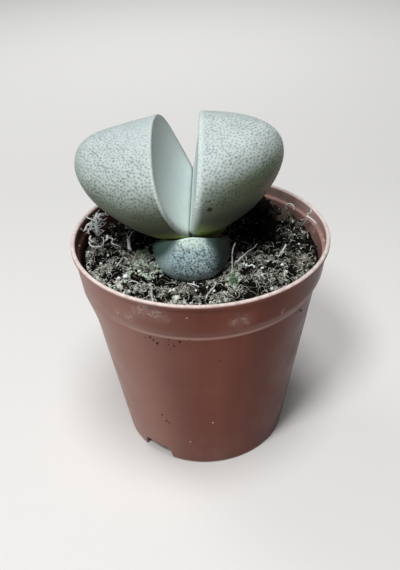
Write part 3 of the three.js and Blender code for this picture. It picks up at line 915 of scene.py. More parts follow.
def new_leaf_masks(piece, leaf, side, foot):
    """How much of each colour a new leaf's vertices take. Foot is the fissure's."""
    points = vertex_array(piece)
    x, _, z = points.T
    normals = normal_array(piece)
    facing_up = normals[:, 2]
    dome = values_of(piece, "on_dome")
    gap = values_of(piece, "from_margin")
    start, facing, placed = PAINTED_UNDERSIDE_SHADE[side]
    # Painted shade, darker towards the underside
    painted_under_shade = dome * smoothstep(0, 1, start + normals @ np.array(facing) + points @ np.array(placed))
    across, up, _ = new_leaf_axes(leaf, side)
    length = leaf["centre"] + leaf["above"]
    from_top = points - (FISSURE_PLACE + length * up)
    aside = np.abs(from_top @ across) / leaf["half_width"]
    # Painted light on the flat face, paler towards its foot
    painted_face_light = smoothstep(0.1, 1.05, from_top @ -up / length + 0.12 * aside)
    rim = 0.35 * smoothstep(0.5, 0.1, gap) * (1 - painted_under_shade) * (1 - painted_face_light)
    # The yellow-green base round the fissure's foot, brightened as a painted glow
    base_green_and_painted_glow = 0.9 * near_point(points, foot, 4.8, 6.2) * (0.07 + 0.93 * dome)
    blush_and_painted_shade = np.zeros(len(points))
    if side > 0:
        painted_under_shade = painted_under_shade * smoothstep(0.1, 1.4, gap)
        # Painted light on the right leaf's pale margin strip, most by the fissure's foot
        by_foot = near_point(points, foot, 2.5, 4.0)
        painted_margin_light = (0.55 + 0.35 * by_foot) * (1 - 0.78 * dome * (1 - by_foot))
        rim = np.maximum(rim, painted_margin_light * smoothstep(1.4, 0.2, gap))
        base_green_and_painted_glow = base_green_and_painted_glow * (0.25 + 0.75 * smoothstep(0.4, 1.8, gap))
        # Brown blush with painted shade on the right leaf's right underside
        blush_and_painted_shade = 0.75 * smoothstep(10, 16, x) * smoothstep(0.3, -0.3, facing_up)
    else:
        # Painted shade on the left leaf's face near the margin, low down
        foot_shade = smoothstep(2.2, 0.1, gap) * smoothstep(66.5, 60, z)
        painted_under_shade = np.maximum(painted_under_shade, 0.66 * (1 - dome) * foot_shade)
    return {
        "painted_under_shade": painted_under_shade,
        "painted_face_light": painted_face_light,
        "base_green_and_painted_glow": base_green_and_painted_glow,
        "rim": rim,
        # Waxy bloom and painted light where the dome faces up
        "bloom_and_painted_light": 0.5 * dome * smoothstep(0.4, 1, facing_up),
        "shade": 0.6 * dome * smoothstep(-0.2, -0.6, facing_up) * smoothstep(2, 9, x),
        "blush_and_painted_shade": blush_and_painted_shade,
    }


def new_leaf_dotting(piece, side, foot):
    """How strong a new leaf's dots are: weaker below, by the foot, high up, far left and on the face."""
    points = vertex_array(piece)
    x, _, z = points.T
    dome = values_of(piece, "on_dome")
    gap = values_of(piece, "from_margin")
    undotted = smoothstep(0.1 + 0.1 * side, -0.4, normal_array(piece)[:, 2])
    strength = 0.82 - 0.8 * smoothstep(0.25, 0.75, undotted)
    strength *= np.where(dome > 0.5, 1, 0.5 * smoothstep(2.8, 0.4, gap))
    strength *= smoothstep(4.5, 9.0, np.linalg.norm(points - foot, axis=1))
    strength *= 1 - (0.35 - 0.1 * side) * smoothstep(68, 74, z)
    strength *= 1 - 0.6 * smoothstep(-21, -26, x)
    if side > 0:
        strength *= 1 - 0.8 * dome * smoothstep(1.1, 0.3, gap)
    return strength


def make_new_leaf(name, leaf, side, seed, material, marks):
    def reshape(points, skin, gaps):
        return kept_to_side(drawn_down(points), side)

    axes = new_leaf_axes(leaf, side)
    piece = leaf_piece(name + "_skin", leaf, FISSURE_PLACE, axes, NEW_FINENESS, reshape)
    add_swell(piece, 7.0, 0.16, seed, values_of(piece, "on_dome"))
    tree = surface_tree(piece)
    foot = seen_over_soil(*FISSURE_FOOT)
    masks = new_leaf_masks(piece, leaf, side, foot)
    for x, y, radius in marks:
        mark = near_point(vertex_array(piece), seen_on(tree, x, y)[0], radius, 0.25)
        masks["marks"] = masks.get("marks", 0) + mark
    dotted(piece, seed, new_leaf_dotting(piece, side, foot), **NEW_DOTS)
    dress_leaf(piece, name, material, "new_leaf", masks)
    return piece


def old_leaf_masks(piece, across):
    """How much of each colour an old leaf's vertices take, and how strong its dots are there."""
    aside = np.abs(across)
    drop = OLD_TOP - vertex_array(piece)[:, 2]
    # Painted shadow of the new leaves on the wings
    wing = smoothstep(1.2, 3.4, aside - 0.9 * np.maximum(drop, 0))
    # Waxy bloom and painted light on the middle, where light falls through the cleft between the new leaves
    middle = (1 - smoothstep(1.8, 3.4, aside)) * smoothstep(2.6, 0.2, drop)
    masks = {
        "painted_under_shade": wing,
        "painted_face_light": np.ones(len(across)),
        "bloom_and_painted_light": 0.9 * middle,
        "shade": 0.95 * smoothstep(2.4, 5.8, across),
    }
    strength = values_of(piece, "on_dome") * (1 - 0.85 * wing) * (1 - 0.5 * middle)
    strength *= 0.35 + 0.65 * smoothstep(-5.5, -2.4, across)
    return masks, strength


def make_old_leaf(name, half, seed, material):
    leaf = dict(OLD_LEAF)
    if half < 0:
        for key in ("half_width", "above", "depth"):
            leaf[key] *= OLD_BACK_SCALE
    axes = old_leaf_axes(half)
    place = FISSURE_PLACE + half * (OLD_PLACE - FISSURE_PLACE)
    place[2] = OLD_PLACE[2]

    def reshape(points, skin, gaps):
        """Raises the tip, and the left corner of the front leaf."""
        aside = skin[:, 0]
        above = skin[:, 1] > leaf["centre"]
        rise = 0.7 * np.exp(-((aside / 2.6) ** 2)) * smoothstep(4.5, 0, gaps) * above
        if half > 0:
            rise += 0.5 * np.exp(-(((aside + 5.6) / 2.2) ** 2)) * smoothstep(3.5, 0, gaps) * above
        return points + rise[:, None] * np.array([0, 0, 1])

    fineness = OLD_FRONT_FINENESS if half > 0 else OLD_BACK_FINENESS
    piece = leaf_piece(name + "_skin", leaf, place, axes, fineness, reshape)
    add_swell(piece, 4.0, 0.12, seed)
    masks, strength = old_leaf_masks(piece, (vertex_array(piece) - place) @ axes[0])
    dotted(piece, seed, strength, **OLD_DOTS)
    dress_leaf(piece, name, material, "old_leaf", masks)
    return piece


def make_leaves():
    fresh = leaf_material(
        "new_leaf_skin",
        (srgb(180, 196, 189), srgb(204, 217, 212)),
        # the flat face's shaded and lit colours, for its painted light
        (srgb(190, 201, 197), srgb(216, 227, 226)),
        # dark olive of the painted underside shade
        srgb(76, 84, 62),
        # waxy bloom and painted light
        srgb(206, 216, 220),
        srgb(72, 94, 84),
    )
    aged = leaf_material(
        "old_leaf_skin",
        (srgb(162, 192, 198), srgb(204, 229, 228)),
        # the flat face's shaded and lit colours, for its painted light
        (srgb(150, 174, 174), srgb(190, 212, 206)),
        # dark olive of the painted underside shade
        srgb(76, 102, 94),
        # waxy bloom and painted light
        srgb(220, 240, 230),
        srgb(34, 58, 64),
    )
    return [
        make_new_leaf("new_leaf_left", LEFT_LEAF, -1, 3, fresh, ()),
        make_new_leaf("new_leaf_right", RIGHT_LEAF, 1, 5, fresh, MARKS),
        make_old_leaf("old_leaf_front", 1, 7, aged),
        make_old_leaf("old_leaf_back", -1, 9, aged),
    ]


# Crown, with its taproot's radius and height from the tip up

ROOT_PROFILE = (
    (0, 17), (0.9, 18), (1.6, 24), (2.8, 31), (4.2, 37), (5.4, 41.5), (5.6, 44), (4.9, 46.5),
    (3.2, 48.2), (0, 49),
)


def bark_material():
    shader = Shader("bark", Roughness=0.85)
    rings = shader.noise(500, 4, stretch=(1, 1, 4))
    shader.set(Base_Color=shader.ramp(rings, (0.35, srgb(66, 48, 32)), (0.7, srgb(132, 106, 78))))
    shader.bump((rings, 0.35), (shader.noise(2400, 3), 0.06))
    return shader.material


def make_crown():
    radii, heights = zip(*ROOT_PROFILE)
    outline = [(np.interp(z, heights, radii), z) for z in np.linspace(heights[0], heights[-1], 65)]
    crown = turned_mesh("crown_bark", outline, 96)
    move_vertices(crown, vertex_array(crown) + np.array([*FISSURE_PLACE[:2], 0]))
    add_swell(crown, 1.6, 0.25, 4)
    finish_piece(crown, bark_material(), "crown", "crown_and_taproot")


# Soil


def level_at(x, y):
    """The height of the soil's heaps and hollows, without its crumbs."""
    height = SOIL_LEVEL
    for mound_x, mound_y, reach, rise in MOUNDS:
        away = math.hypot(x - mound_x, y - mound_y) / reach
        height += rise * math.exp(-away * away)
    return height


def soil_height(x, y):
    """The height of the soil's crumbly surface."""
    clods = noise.noise(Vector((x, y, 3.1)) / 2.8)
    crumbs = noise.noise(Vector((x, y, 8.2)) / 1.0)
    grit = noise.noise(Vector((x, y, 5.5)) / 0.42)
    return level_at(x, y) + 0.85 * clods + 0.5 * crumbs + 0.2 * grit


def painted_shade_at(x, y):
    """From 0 on unshaded soil to 1 in the painted shade."""
    return max(
        share * math.exp(-(((x - centre_x) / reach_x) ** 4) - ((y - centre_y) / reach_y) ** 4)
        for centre_x, centre_y, reach_x, reach_y, share in PAINTED_SHADE_PATCHES
    )


def looseness(x, y):
    """From 0 in the soil's dark gaps to 1 where crumbs lie thick."""
    return smoothstep(-0.22, 0.2, noise.noise(Vector((x, y, 20.0)) / 1.9))


def on_soil(x, y, lift):
    """The place a lift over the soil's surface."""
    return np.array([x, y, soil_height(x, y) + lift])


def soil_body_material():
    shader = Shader("peat", Roughness=0.95, Specular_IOR_Level=0.08)
    lumps = shader.noise(900, 5, 0.7)
    bare_peat = shader.ramp(lumps, (0.38, srgb(10, 9, 8)), (0.58, srgb(20, 18, 15)), (0.72, srgb(62, 60, 54)))
    # darker in the painted shade
    shader.set(Base_Color=shader.mix("painted_soil_shade", bare_peat, srgb(13, 13, 11)))
    shader.bump((lumps, 0.8), (shader.noise(4200, 3), 0.12))
    return shader.material


def make_soil_body():
    rings = []
    for radius in np.linspace(0, SOIL_RADIUS, SOIL_RINGS + 1)[1:]:
        ring = level_ring(radius, 0.0, SOIL_SEGMENTS)
        ring[:, 2] = [soil_height(x, y) for x, y, _ in ring]
        rings.append(ring)
    inward, upward = SOIL_CHAMFER
    bottom = FLOOR_TOP + SOIL_GAP
    low = bottom + upward
    corners = (BAND_BOTTOM, STEP_BOTTOM, (body_radius(low), low), (body_radius(bottom) - inward, bottom))
    rings += [level_ring(radius - WALL - SOIL_GAP, z, SOIL_SEGMENTS) for radius, z in corners]
    points = np.vstack([[(0, 0, soil_height(0, 0)), (0, 0, bottom)], *rings])
    # how much painted shade each point takes
    painted_soil_shade = [painted_shade_at(x, y) for x, y, _ in points]
    soil = closed_skin("soil_body", points, SOIL_SEGMENTS, {"painted_soil_shade": painted_soil_shade})
    finish_piece(soil, soil_body_material(), "soil", "soil")


class PlantRoom:
    """Tells whether a small thing at a point would lie in a leaf."""

    def __init__(self, leaves):
        self.trees = [surface_tree(leaf) for leaf in leaves]

    def blocks(self, point, size):
        for tree in self.trees:
            found, normal, _, distance = tree.find_nearest(Vector(point))
            if distance < size or (Vector(point) - found).dot(normal) < 0:
                return True
        return False


class Fused:
    """Many small shapes gathered in one mesh, each point with a tone from 0, dark, to 1, pale."""

    def __init__(self):
        self.points = []
        self.faces = []
        self.tones = []

    def add(self, shape, tone, place=(0, 0, 0)):
        """Adds a shape, given by its points and faces, at a place."""
        points, faces = shape
        first = len(self.points)
        self.points.extend(points + np.asarray(place))
        self.faces.extend([tuple(first + i for i in face) for face in faces])
        self.tones.extend([tone] * len(points))

    def piece(self, name, material):
        """Makes one piece of soil of what was added."""
        finish_piece(mesh_object(name, self.points, self.faces, {"tone": self.tones}), material, "soil")


@functools.cache
def ball(steps):
    """The points and faces of an icosphere of radius 1."""
    shape = bmesh.new()
    bmesh.ops.create_icosphere(shape, subdivisions=steps, radius=1.0)
    points = np.array([vertex.co[:] for vertex in shape.verts])
    faces = [tuple(vertex.index for vertex in face.verts) for face in shape.faces]
    shape.free()
    return points, faces


def lump(steps, size, rng, flat, rough=0.35):
    """An uneven lump, turned at random, about its own centre."""
    points, faces = ball(steps)
    scale = np.array([1, rng.uniform(flat, 1), rng.uniform(flat, 1)]) * size
    seed = Vector([rng.uniform(-50, 50) for _ in range(3)])
    swell = np.array([1 + rough * noise.noise(2.1 * Vector(point) + seed) for point in points])
    axis = Vector([rng.gauss(0, 1) for _ in range(3)]).normalized()
    turn = np.array(Matrix.Rotation(rng.uniform(0, 2 * math.pi), 3, axis))
    return (points * swell[:, None] * scale) @ turn.T, faces


def tube(path, radius, sides, taper=0.5):
    """The points and faces of a thin tube along a path. Its radius at the end is the taper's share."""
    path = np.asarray(path, float)
    ahead = unit(np.gradient(path, axis=0))
    across = unit(np.cross(ahead, (0.3, 0.2, 0.93)))
    up = np.cross(across, ahead)
    turn = 2 * np.pi * np.arange(sides)[:, None] / sides
    rings = [
        centre + width * (np.cos(turn) * a + np.sin(turn) * b)
        for centre, a, b, width in zip(path, across, up, radius * np.linspace(1, taper, len(path)))
    ]
    faces = ring_faces(len(path), sides)
    end = (len(path) - 1) * sides
    faces += [tuple(range(sides - 1, -1, -1)), tuple(range(end, end + sides))]
    return np.vstack(rings), faces


def spot_on_soil(rng, spread=24.8):
    """A random place within the spread from the pot's axis."""
    turn = rng.uniform(0, 2 * math.pi)
    radius = spread * math.sqrt(rng.random())
    return radius * math.cos(turn), radius * math.sin(turn)


# The small things' roughness, and their colours from dark to pale
TONES = {
    "speck": (0.9, (0, srgb(66, 34, 24)), (1, srgb(214, 188, 180))),
    "crumb": (
        0.92,
        (0, srgb(18, 17, 14)),
        (0.35, srgb(82, 80, 72)),
        (0.7, srgb(162, 163, 153)),
        (1, srgb(232, 235, 225)),
    ),
    "dark_crumb": (
        0.95,
        (0, srgb(9, 8, 7)),
        (0.52, srgb(28, 25, 21)),
        (0.75, srgb(64, 58, 49)),
        (1, srgb(112, 106, 94)),
    ),
    "chip": (0.7, (0, srgb(80, 79, 70)), (0.5, srgb(164, 166, 156)), (1, srgb(250, 252, 246))),
    "fibre": (0.8, (0, srgb(74, 71, 61)), (0.5, srgb(156, 155, 142)), (1, srgb(240, 242, 234))),
    "root": (0.7, (0, srgb(96, 94, 84)), (0.5, srgb(160, 162, 154)), (1, srgb(250, 253, 254))),
}


def tone_material(name):
    """A mineral or fibre material that follows each small shape's tone."""
    rough, *stops = TONES[name]
    shader = Shader(name, Roughness=rough, Specular_IOR_Level=0.15)
    grain = shader.noise(3000, 3, 0.65)
    tone = shader.maths("ADD", "tone", shader.remap(grain, 0.3, 0.7, -0.14, 0.14))
    shader.set(Base_Color=shader.ramp(tone, *stops))
    shader.bump((grain, 0.1))
    return shader.material


def scattered(rng, room, count, draw, chance=looseness):
    """Yields places on the soil that are clear of the leaves and the wall, with the size drawn for each."""
    found = 0
    while found < count:
        x, y = spot_on_soil(rng)
        size = draw()
        if rng.random() > chance(x, y) or math.hypot(x, y) + size > SOIL_RADIUS:
            continue
        if room.blocks((x, y, soil_height(x, y) + 0.3 * size), size):
            continue
        found += 1
        yield x, y, size


# Clods that stand against the far wall on the right: picture x and y, rise and size in mm, and tone
CLODS = (
    (254, 206, 1, 1.2, 0.4), (258.5, 201, 1.2, 1.1, 0.4), (262, 199.5, 1.3, 0.9, 0.4),
    (264.5, 204, 1.1, 1.2, 0.4), (268.5, 208, 0.9, 1.1, 0.45), (273.5, 210, 0.6, 0.9, 0.6),
    (278, 212, 0.5, 0.8, 0.8), (284, 212.5, 0.5, 0.8, 0.9), (289, 215, 0.4, 0.8, 1),
    (262, 210, 0.8, 1.3, 0.4), (272, 216, 0.5, 1.2, 0.6), (281, 219.5, 0.4, 1.1, 0.85),
    (291.5, 222, 0.3, 0.9, 0.95), (252, 213, 0.6, 1.3, 0.4), (297.5, 226.5, 0.3, 0.8, 0.9),
)


# Where crumbs lie thick, with fewer pale bits in the painted shade
def loose_and_unshaded(x, y):
    return looseness(x, y) * (1 - 0.93 * painted_shade_at(x, y))


def make_crumbs(room):
    """Loose crumbs, darker in the painted shade, with fine dark ones between them and clods by the wall."""
    rng = random.Random(11)
    crumbs = Fused()
    for x, y, size in scattered(rng, room, CRUMBS, lambda: rng.uniform(0.14, 0.4) + 0.45 * rng.random() ** 5):
        crumb = lump(2, size, rng, 0.55, 0.9)
        place = on_soil(x, y, rng.uniform(-0.1, 0.45) * size)
        patch = noise.noise(Vector((x, y, 40.0)) / 4.0)
        # Tones at random and in patches, darker towards the right and the back as painted shade
        tone = rng.random() ** 1.1 * (0.9 + 0.5 * patch) - 0.006 * (x + 0.8 * y)
        # crumbs darker in the painted shade
        crumbs.add(crumb, tone * (1 - 0.9 * painted_shade_at(x, y)), place)
    crumbs.piece("soil_crumbs", tone_material("crumb"))
    dark = Fused()
    for x, y, size in scattered(rng, room, DARK_CRUMBS, lambda: rng.uniform(0.12, 0.34), lambda x, y: 1):
        crumb = lump(1, size, rng, 0.55, 0.9)
        dark.add(crumb, 0.75 * rng.random(), on_soil(x, y, 0.2 * size))
    for x, y, rise, size, tone in CLODS:
        points, faces = lump(3, size, rng, 0.7, 0.9)
        points = points * (1 + wavy(points, 0.35, 0.22, x))[:, None]
        dark.add((points, faces), tone, kept_inside(seen_over_soil(x, y, rise), SOIL_RADIUS - 1.1 * size))
    dark.piece("soil_dark_crumbs", tone_material("dark_crumb"))


def make_chips(room):
    """Pale splinters of bark and root that lie about at all slants, and fine grains."""
    rng = random.Random(12)
    chips = Fused()
    corners = np.array([(1, 0, 0), (-1, 0, 0), (0, 1, 0), (0, 0, 1), (0, -1, 0), (0, 0, -1)], float)
    faces = fan_faces(0, 2, 4) + [(pole, b, a) for pole, a, b in fan_faces(1, 2, 4)]

    def splinter_size():
        return rng.uniform(0.18, 0.42) + 0.5 * rng.random() ** 5

    for x, y, size in scattered(rng, room, SPLINTERS, splinter_size, loose_and_unshaded):
        points = corners.copy()
        points[2:, 0] += rng.uniform(-0.5, 0.5)
        points *= (size, rng.uniform(0.08, 0.17), rng.uniform(0.06, 0.12))
        turn = Matrix.Rotation(rng.uniform(0, 2 * math.pi), 3, "Z")
        turn = turn @ Matrix.Rotation(math.radians(rng.gauss(0, 24)), 3, "Y")
        place = on_soil(x, y, rng.uniform(0.15, 0.45))
        chips.add((points @ np.array(turn).T, faces), rng.random(), place)
    for x, y, size in scattered(rng, room, GRAINS, lambda: rng.uniform(0.08, 0.16), loose_and_unshaded):
        grain = lump(1, size, rng, 0.5)
        place = on_soil(x, y, rng.uniform(0.2, 0.5))
        chips.add(grain, rng.random(), place)
    chips.piece("soil_chips", tone_material("chip"))


def fibre_path(x, y, length, rng, lift, curl):
    """A fibre that wanders over the soil and rises between its ends."""
    count = max(4, int(length / 0.35))
    step = length / count
    heading = rng.uniform(0, 2 * math.pi)
    bend = rng.uniform(-curl, curl)
    path = []
    for i in range(count + 1):
        bend = 0.8 * (bend + rng.uniform(-0.5, 0.5) * curl)
        heading += bend
        x += step * math.cos(heading)
        y += step * math.sin(heading)
        rise = lift * math.sin(math.pi * i / count)
        path.append((x, y, level_at(x, y) + 0.6 * (soil_height(x, y) - level_at(x, y)) + 0.3 + rise))
    return path


def make_fibres(room):
    """Thin fibres that wander over the soil, and short thick curls of bark among the crumbs."""
    rng = random.Random(13)
    fibres = Fused()

    def add_fibre(path, radius, sides, tone):
        if not any(math.hypot(p[0], p[1]) > SOIL_RADIUS - 0.2 or room.blocks(p, 0.1) for p in path):
            fibres.add(tube(path, radius, sides), tone)

    for _ in range(FIBRES):
        x, y = spot_on_soil(rng, 24)
        # fewer fibres in the painted shade
        if rng.random() < 0.9 * painted_shade_at(x, y):
            continue
        length = rng.uniform(1.0, 2.2) + 3.5 * rng.random() ** 8
        path = fibre_path(x, y, length, rng, rng.uniform(0, 0.9), 0.4)
        add_fibre(path, rng.uniform(0.04, 0.08), 4, rng.random())
    for _ in range(CURLS):
        x, y = spot_on_soil(rng, 24.6)
        if rng.random() > loose_and_unshaded(x, y):
            continue
        path = fibre_path(x, y, rng.uniform(0.5, 1.3), rng, rng.uniform(0.1, 0.6), 0.6)
        add_fibre(path, rng.uniform(0.06, 0.11), 3, rng.uniform(0.2, 1.1))
    fibres.piece("soil_fibres", tone_material("fibre"))


# Roots and twigs that stand out in the photograph. A row gives the radius in mm at the start and the end and
# the tone, and then the points: picture x and y, and the height over the soil's level in mm.
SOIL_STRANDS = (
    ((0.24, 0.14, 1), (91, 235.7, 1.6), (89.6, 238.5, 1.2), (91, 240.8, 0.9), (93.2, 242, 0.6)),
    ((0.18, 0.16, 0.9), (89, 242, 1.4), (90.5, 245, 1.1), (93.8, 247, 0.9), (97.7, 246.6, 1)),
    ((0.16, 0.14, 0.9), (97.7, 246.6, 1), (99.5, 246.8, 1), (101.3, 246.4, 1)),
    ((0.15, 0.12, 0.8), (101.3, 246.4, 1), (103.5, 242.9, 1.1), (103.5, 237.9, 1.6)),
    ((0.26, 0.2, 1), (107.1, 235.7, 1.3), (107.5, 238.8, 1), (104.8, 241.1, 0.8)),
    ((0.18, 0.14, 0.8), (108.4, 237.5, 0.9), (112.9, 239.3, 0.8), (111.5, 242.4, 0.7), (114.6, 244.6, 0.7)),
    ((0.14, 0.1, 0.7), (114.6, 244.6, 0.7), (118, 245.6, 0.8), (122, 248, 0.5)),
    ((0.42, 0.28, 1), (129.7, 249.3, 0.3), (128.9, 244, 1.3), (128.2, 238.4, 2.4)),
    ((0.24, 0.08, 0.9), (128.6, 239.5, 2.2), (130.5, 235, 3.1), (133.4, 230.8, 4)),
    ((0.15, 0.06, 0.7), (127.9, 239.5, 2.2), (126.7, 234.4, 3.2), (124.5, 231.3, 3.8)),
    ((0.09, 0.05, 0.6), (127.6, 233.5, 3.3), (131.6, 227.7, 4.4)),
    ((0.15, 0.12, 0.8), (232.2, 273, 0.2), (232.2, 262.8, 2.4), (232.2, 253.6, 4.5)),
    ((0.12, 0.08, 0.8), (232.2, 253.6, 4.5), (233.7, 246.5, 6), (235.5, 243, 6.7)),
    ((0.1, 0.07, 0.7), (225, 267.9, 0.8), (228.1, 263.3, 1.9), (231.2, 262.3, 2.2), (236.3, 262.8, 1.8)),
    ((0.2, 0.1, 1), (237.8, 261.6, 0.9), (239.9, 258.7, 1.4), (243.9, 255.2, 1.8)),
    ((0.1, 0.06, 0.7), (243.9, 255.2, 1.8), (248.5, 251.1, 2.4), (253.6, 248, 2.6), (257, 244, 3)),
    ((0.09, 0.07, 0.6), (239.9, 241.4, 1.6), (243.4, 241.9, 1.8), (248.5, 243.9, 1.4), (251.6, 246.5, 1)),
    ((0.12, 0.08, 0.8), (242.4, 252.6, 1.4), (246, 256.7, 1.2), (246.5, 260.8, 0.8)),
    ((0.13, 0.2, 0.8), (279.1, 255.7, 0.8), (282.7, 250.6, 2), (286.3, 244.4, 3.2)),
    ((0.14, 0.22, 0.9), (256.3, 201, 2.4), (253.2, 205.5, 2)),
    ((0.22, 0.14, 0.8), (116.5, 266.5, 0.6), (120, 261.8, 0.9), (123.2, 257.3, 1)),
    ((0.14, 0.1, 0.8), (205, 301, 0.5), (208, 294, 0.9), (214, 287, 1.1), (216, 282, 0.7)),
    ((0.18, 0.1, 0.9), (187.5, 283.5, 0.6), (193, 284.5, 0.9), (199, 286.5, 0.6)),
    ((0.14, 0.1, 0.9), (193.5, 281.5, 1.2), (194.5, 285, 0.8)),
    ((0.12, 0.08, 0.8), (109.5, 287.5, 0.5), (114.5, 285.5, 0.8), (119.5, 283.5, 0.6)),
    ((0.12, 0.08, 0.8), (128.5, 282, 0.6), (133, 281, 0.9), (138.5, 283, 0.8), (142, 287.5, 0.6)),
)
# The same for roots against the pot's wall, with the distance from the pot's axis as each point's last number
WALL_STRANDS = (
    ((0.46, 0.32, 1.1), (99, 240, 23.6), (97.5, 235, 23.8), (96, 229, 24), (96.2, 222.3, 24)),
    ((0.2, 0.12, 1), (96.2, 222.3, 24.3), (96.8, 217, 24.4), (96.3, 212.5, 24.6)),
    ((0.18, 0.14, 1), (85, 216, 26.7), (88.8, 218.3, 25.9), (92.3, 219.6, 25.2), (96, 221.2, 24.4)),
    ((0.18, 0.12, 0.9), (96.6, 218, 24.4), (100.4, 214.7, 24.2), (103.9, 213.8, 24), (107.1, 215.2, 23.6)),
    ((0.12, 0.08, 0.9), (107.1, 215.2, 23.6), (109.5, 214.5, 23.4), (111, 213, 23.4)),
    ((0.14, 0.08, 0.9), (105.7, 213.8, 23.8), (105.3, 210.3, 23.8)),
    ((0.17, 0.08, 1), (97.2, 225, 24.4), (99.5, 220.5, 24.2), (101.3, 217.9, 24)),
    ((0.14, 0.08, 0.9), (99, 223.2, 24.2), (103, 222.3, 23.8), (104.5, 224.5, 23.4)),
    ((0.3, 0.2, 1), (96, 225.5, 24.4), (93.2, 224.3, 24.8), (89.2, 223.7, 25.3), (86.4, 226, 25.6)),
    ((0.2, 0.12, 1), (86.4, 226, 25.6), (85.6, 228.5, 25.7), (83.8, 230.8, 25.9), (81, 228.8, 26.2)),
    ((0.2, 0.12, 1), (92.8, 228.6, 24.8), (89.6, 229, 25.2), (88.2, 231.3, 25.2), (89.2, 233.8, 25)),
    ((0.18, 0.1, 1), (96.8, 227.7, 24.4), (99.5, 232.1, 24), (102.1, 235.7, 23.4), (103.9, 234, 23.6)),
    ((0.14, 0.09, 0.9), (95.4, 231, 24.5), (98.2, 235.5, 24.2), (100.6, 238.2, 23.4)),
    ((0.18, 0.15, 1.2), (311.2, 208.9, 25.3), (310.7, 213, 25.2), (307.7, 214, 25), (307.3, 216.5, 24.9)),
    ((0.18, 0.14, 1.2), (307.3, 216.5, 24.9), (312.2, 219.6, 24.9), (316.3, 223.7, 24.9)),
    ((0.14, 0.1, 1.2), (316.3, 223.7, 24.9), (315.5, 228, 24.9), (313.5, 232, 24.8)),
    ((0.14, 0.09, 1.1), (308.5, 218.4, 24.9), (303.6, 223.7, 24.9), (301.5, 228.8, 24.8), (300, 234.4, 24.8)),
    ((0.09, 0.06, 1), (307, 219, 24.9), (300.5, 219.8, 24.9)),
    ((0.22, 0.2, 1.2), (286.7, 209.4, 24.9), (286.2, 205.3, 24.9), (289.8, 203.8, 25)),
    ((0.2, 0.15, 1.2), (289.8, 203.8, 25), (293.4, 205.8, 24.9), (293.8, 209.5, 24.8)),
)
# Fine rootlets that fan out from a stem: picture x and y and distance from the pot's axis, and how many
ROOTLET_STEMS = (((96, 218, 24.2), 16), ((96, 226, 24.2), 14), ((90, 227, 24.6), 10), ((97, 236, 23.8), 12))
# Pale bits lying on the soil: picture x and y, and size in mm
PALE_BITS = (
    (158.5, 265.4, 0.34), (125.4, 276.5, 0.6), (152.7, 273.8, 0.45), (139.3, 271.2, 0.4),
    (118.8, 278.3, 0.34), (129, 291.7, 0.3), (262.3, 267.9, 0.36), (267.9, 261.3, 0.24),
    (287.8, 261.3, 0.22), (282.2, 264.9, 0.34), (262.3, 275, 0.3), (299, 243.9, 0.28),
    (301, 248.5, 0.22), (292.3, 221.6, 0.42), (294.5, 234.5, 0.22), (243.8, 263.8, 0.3),
    (246.2, 265.4, 0.36), (249, 265.9, 0.3), (251.6, 265.2, 0.34), (254.2, 266.8, 0.3),
    (236.5, 261.5, 0.3), (239.5, 259.5, 0.26), (232, 259.5, 0.22), (143, 262.5, 0.4),
    (137.5, 266, 0.36), (207, 287.5, 0.26), (214, 291, 0.3), (196, 290.5, 0.26), (170, 291, 0.28),
    (101, 263.5, 0.3), (108, 255.5, 0.3),
)


def smooth_path(points, steps=5):
    """A soft curve through points."""
    points = [np.asarray(point, float) for point in points]
    points = [2 * points[0] - points[1], *points, 2 * points[-1] - points[-2]]
    path = []
    for a, b, c, d in zip(points, points[1:], points[2:], points[3:]):
        for step in range(steps):
            s = step / steps
            curve = (2 * a - 5 * b + 4 * c - d) * s**2 + (3 * b - a - 3 * c + d) * s**3
            path.append(0.5 * (2 * b + (c - a) * s + curve))
    path.append(points[-2])
    return path


def kept_inside(point, radius):
    """A point drawn in to a radius round the pot's axis."""
    reach = math.hypot(point[0], point[1])
    share = min(1, radius / reach)
    return np.array([point[0] * share, point[1] * share, point[2]])


def rootlet_path(stem, rng):
    """A short rootlet that wanders out from its stem."""
    path = [seen_on_wall(*stem) + np.array([0, rng.uniform(-0.4, 0.4), rng.uniform(-0.8, 0.8)])]
    heading = np.array([rng.uniform(-0.5, 1.2), rng.gauss(0, 1), rng.gauss(0.2, 0.7)])
    for _ in range(rng.randint(3, 7)):
        heading = unit(heading + np.array([rng.gauss(0, 0.5) for _ in range(3)]))
        path.append(kept_inside(path[-1] + 0.5 * heading, SOIL_RADIUS - 0.3))
    return path


def make_roots():
    """The roots that stand out, a tuft of rootlets and the pale bits on the soil."""
    rng = random.Random(15)
    roots = Fused()

    def add_strand(places, start, end, tone):
        points, faces = tube(smooth_path(places), start, 8, end / start)
        wobble = wavy(points, 0.5, 0.3 * start, 2)
        roots.add((points + wobble[:, None] * np.array([0.6, 0.5, 0.6]), faces), tone)

    for shape, *spots in SOIL_STRANDS:
        add_strand([kept_inside(seen_over_soil(*spot), SOIL_RADIUS) for spot in spots], *shape)
    for shape, *spots in WALL_STRANDS:
        add_strand([seen_on_wall(*spot) for spot in spots], *shape)
    for stem, count in ROOTLET_STEMS:
        for _ in range(count):
            path = rootlet_path(stem, rng)
            add_strand(path, rng.uniform(0.06, 0.12), 0.05, rng.uniform(0.85, 1.15))
    for x, y, size in PALE_BITS:
        place = kept_inside(seen_over_soil(x, y, 0.7), SOIL_RADIUS - size)
        roots.add(lump(2, size, rng, 0.6, 0.6), 1.0, place)
    roots.piece("soil_roots", tone_material("root"))


# Moss cushions: picture x and y, size in mm and tone from 0, dark, to 1, pale
MOSS = (
    (139.8, 254.5, 1, 0.46), (146.4, 253, 1.1, 0.52), (143.6, 258.5, 0.8, 0.62), (240, 266, 0.5, 0.6),
)
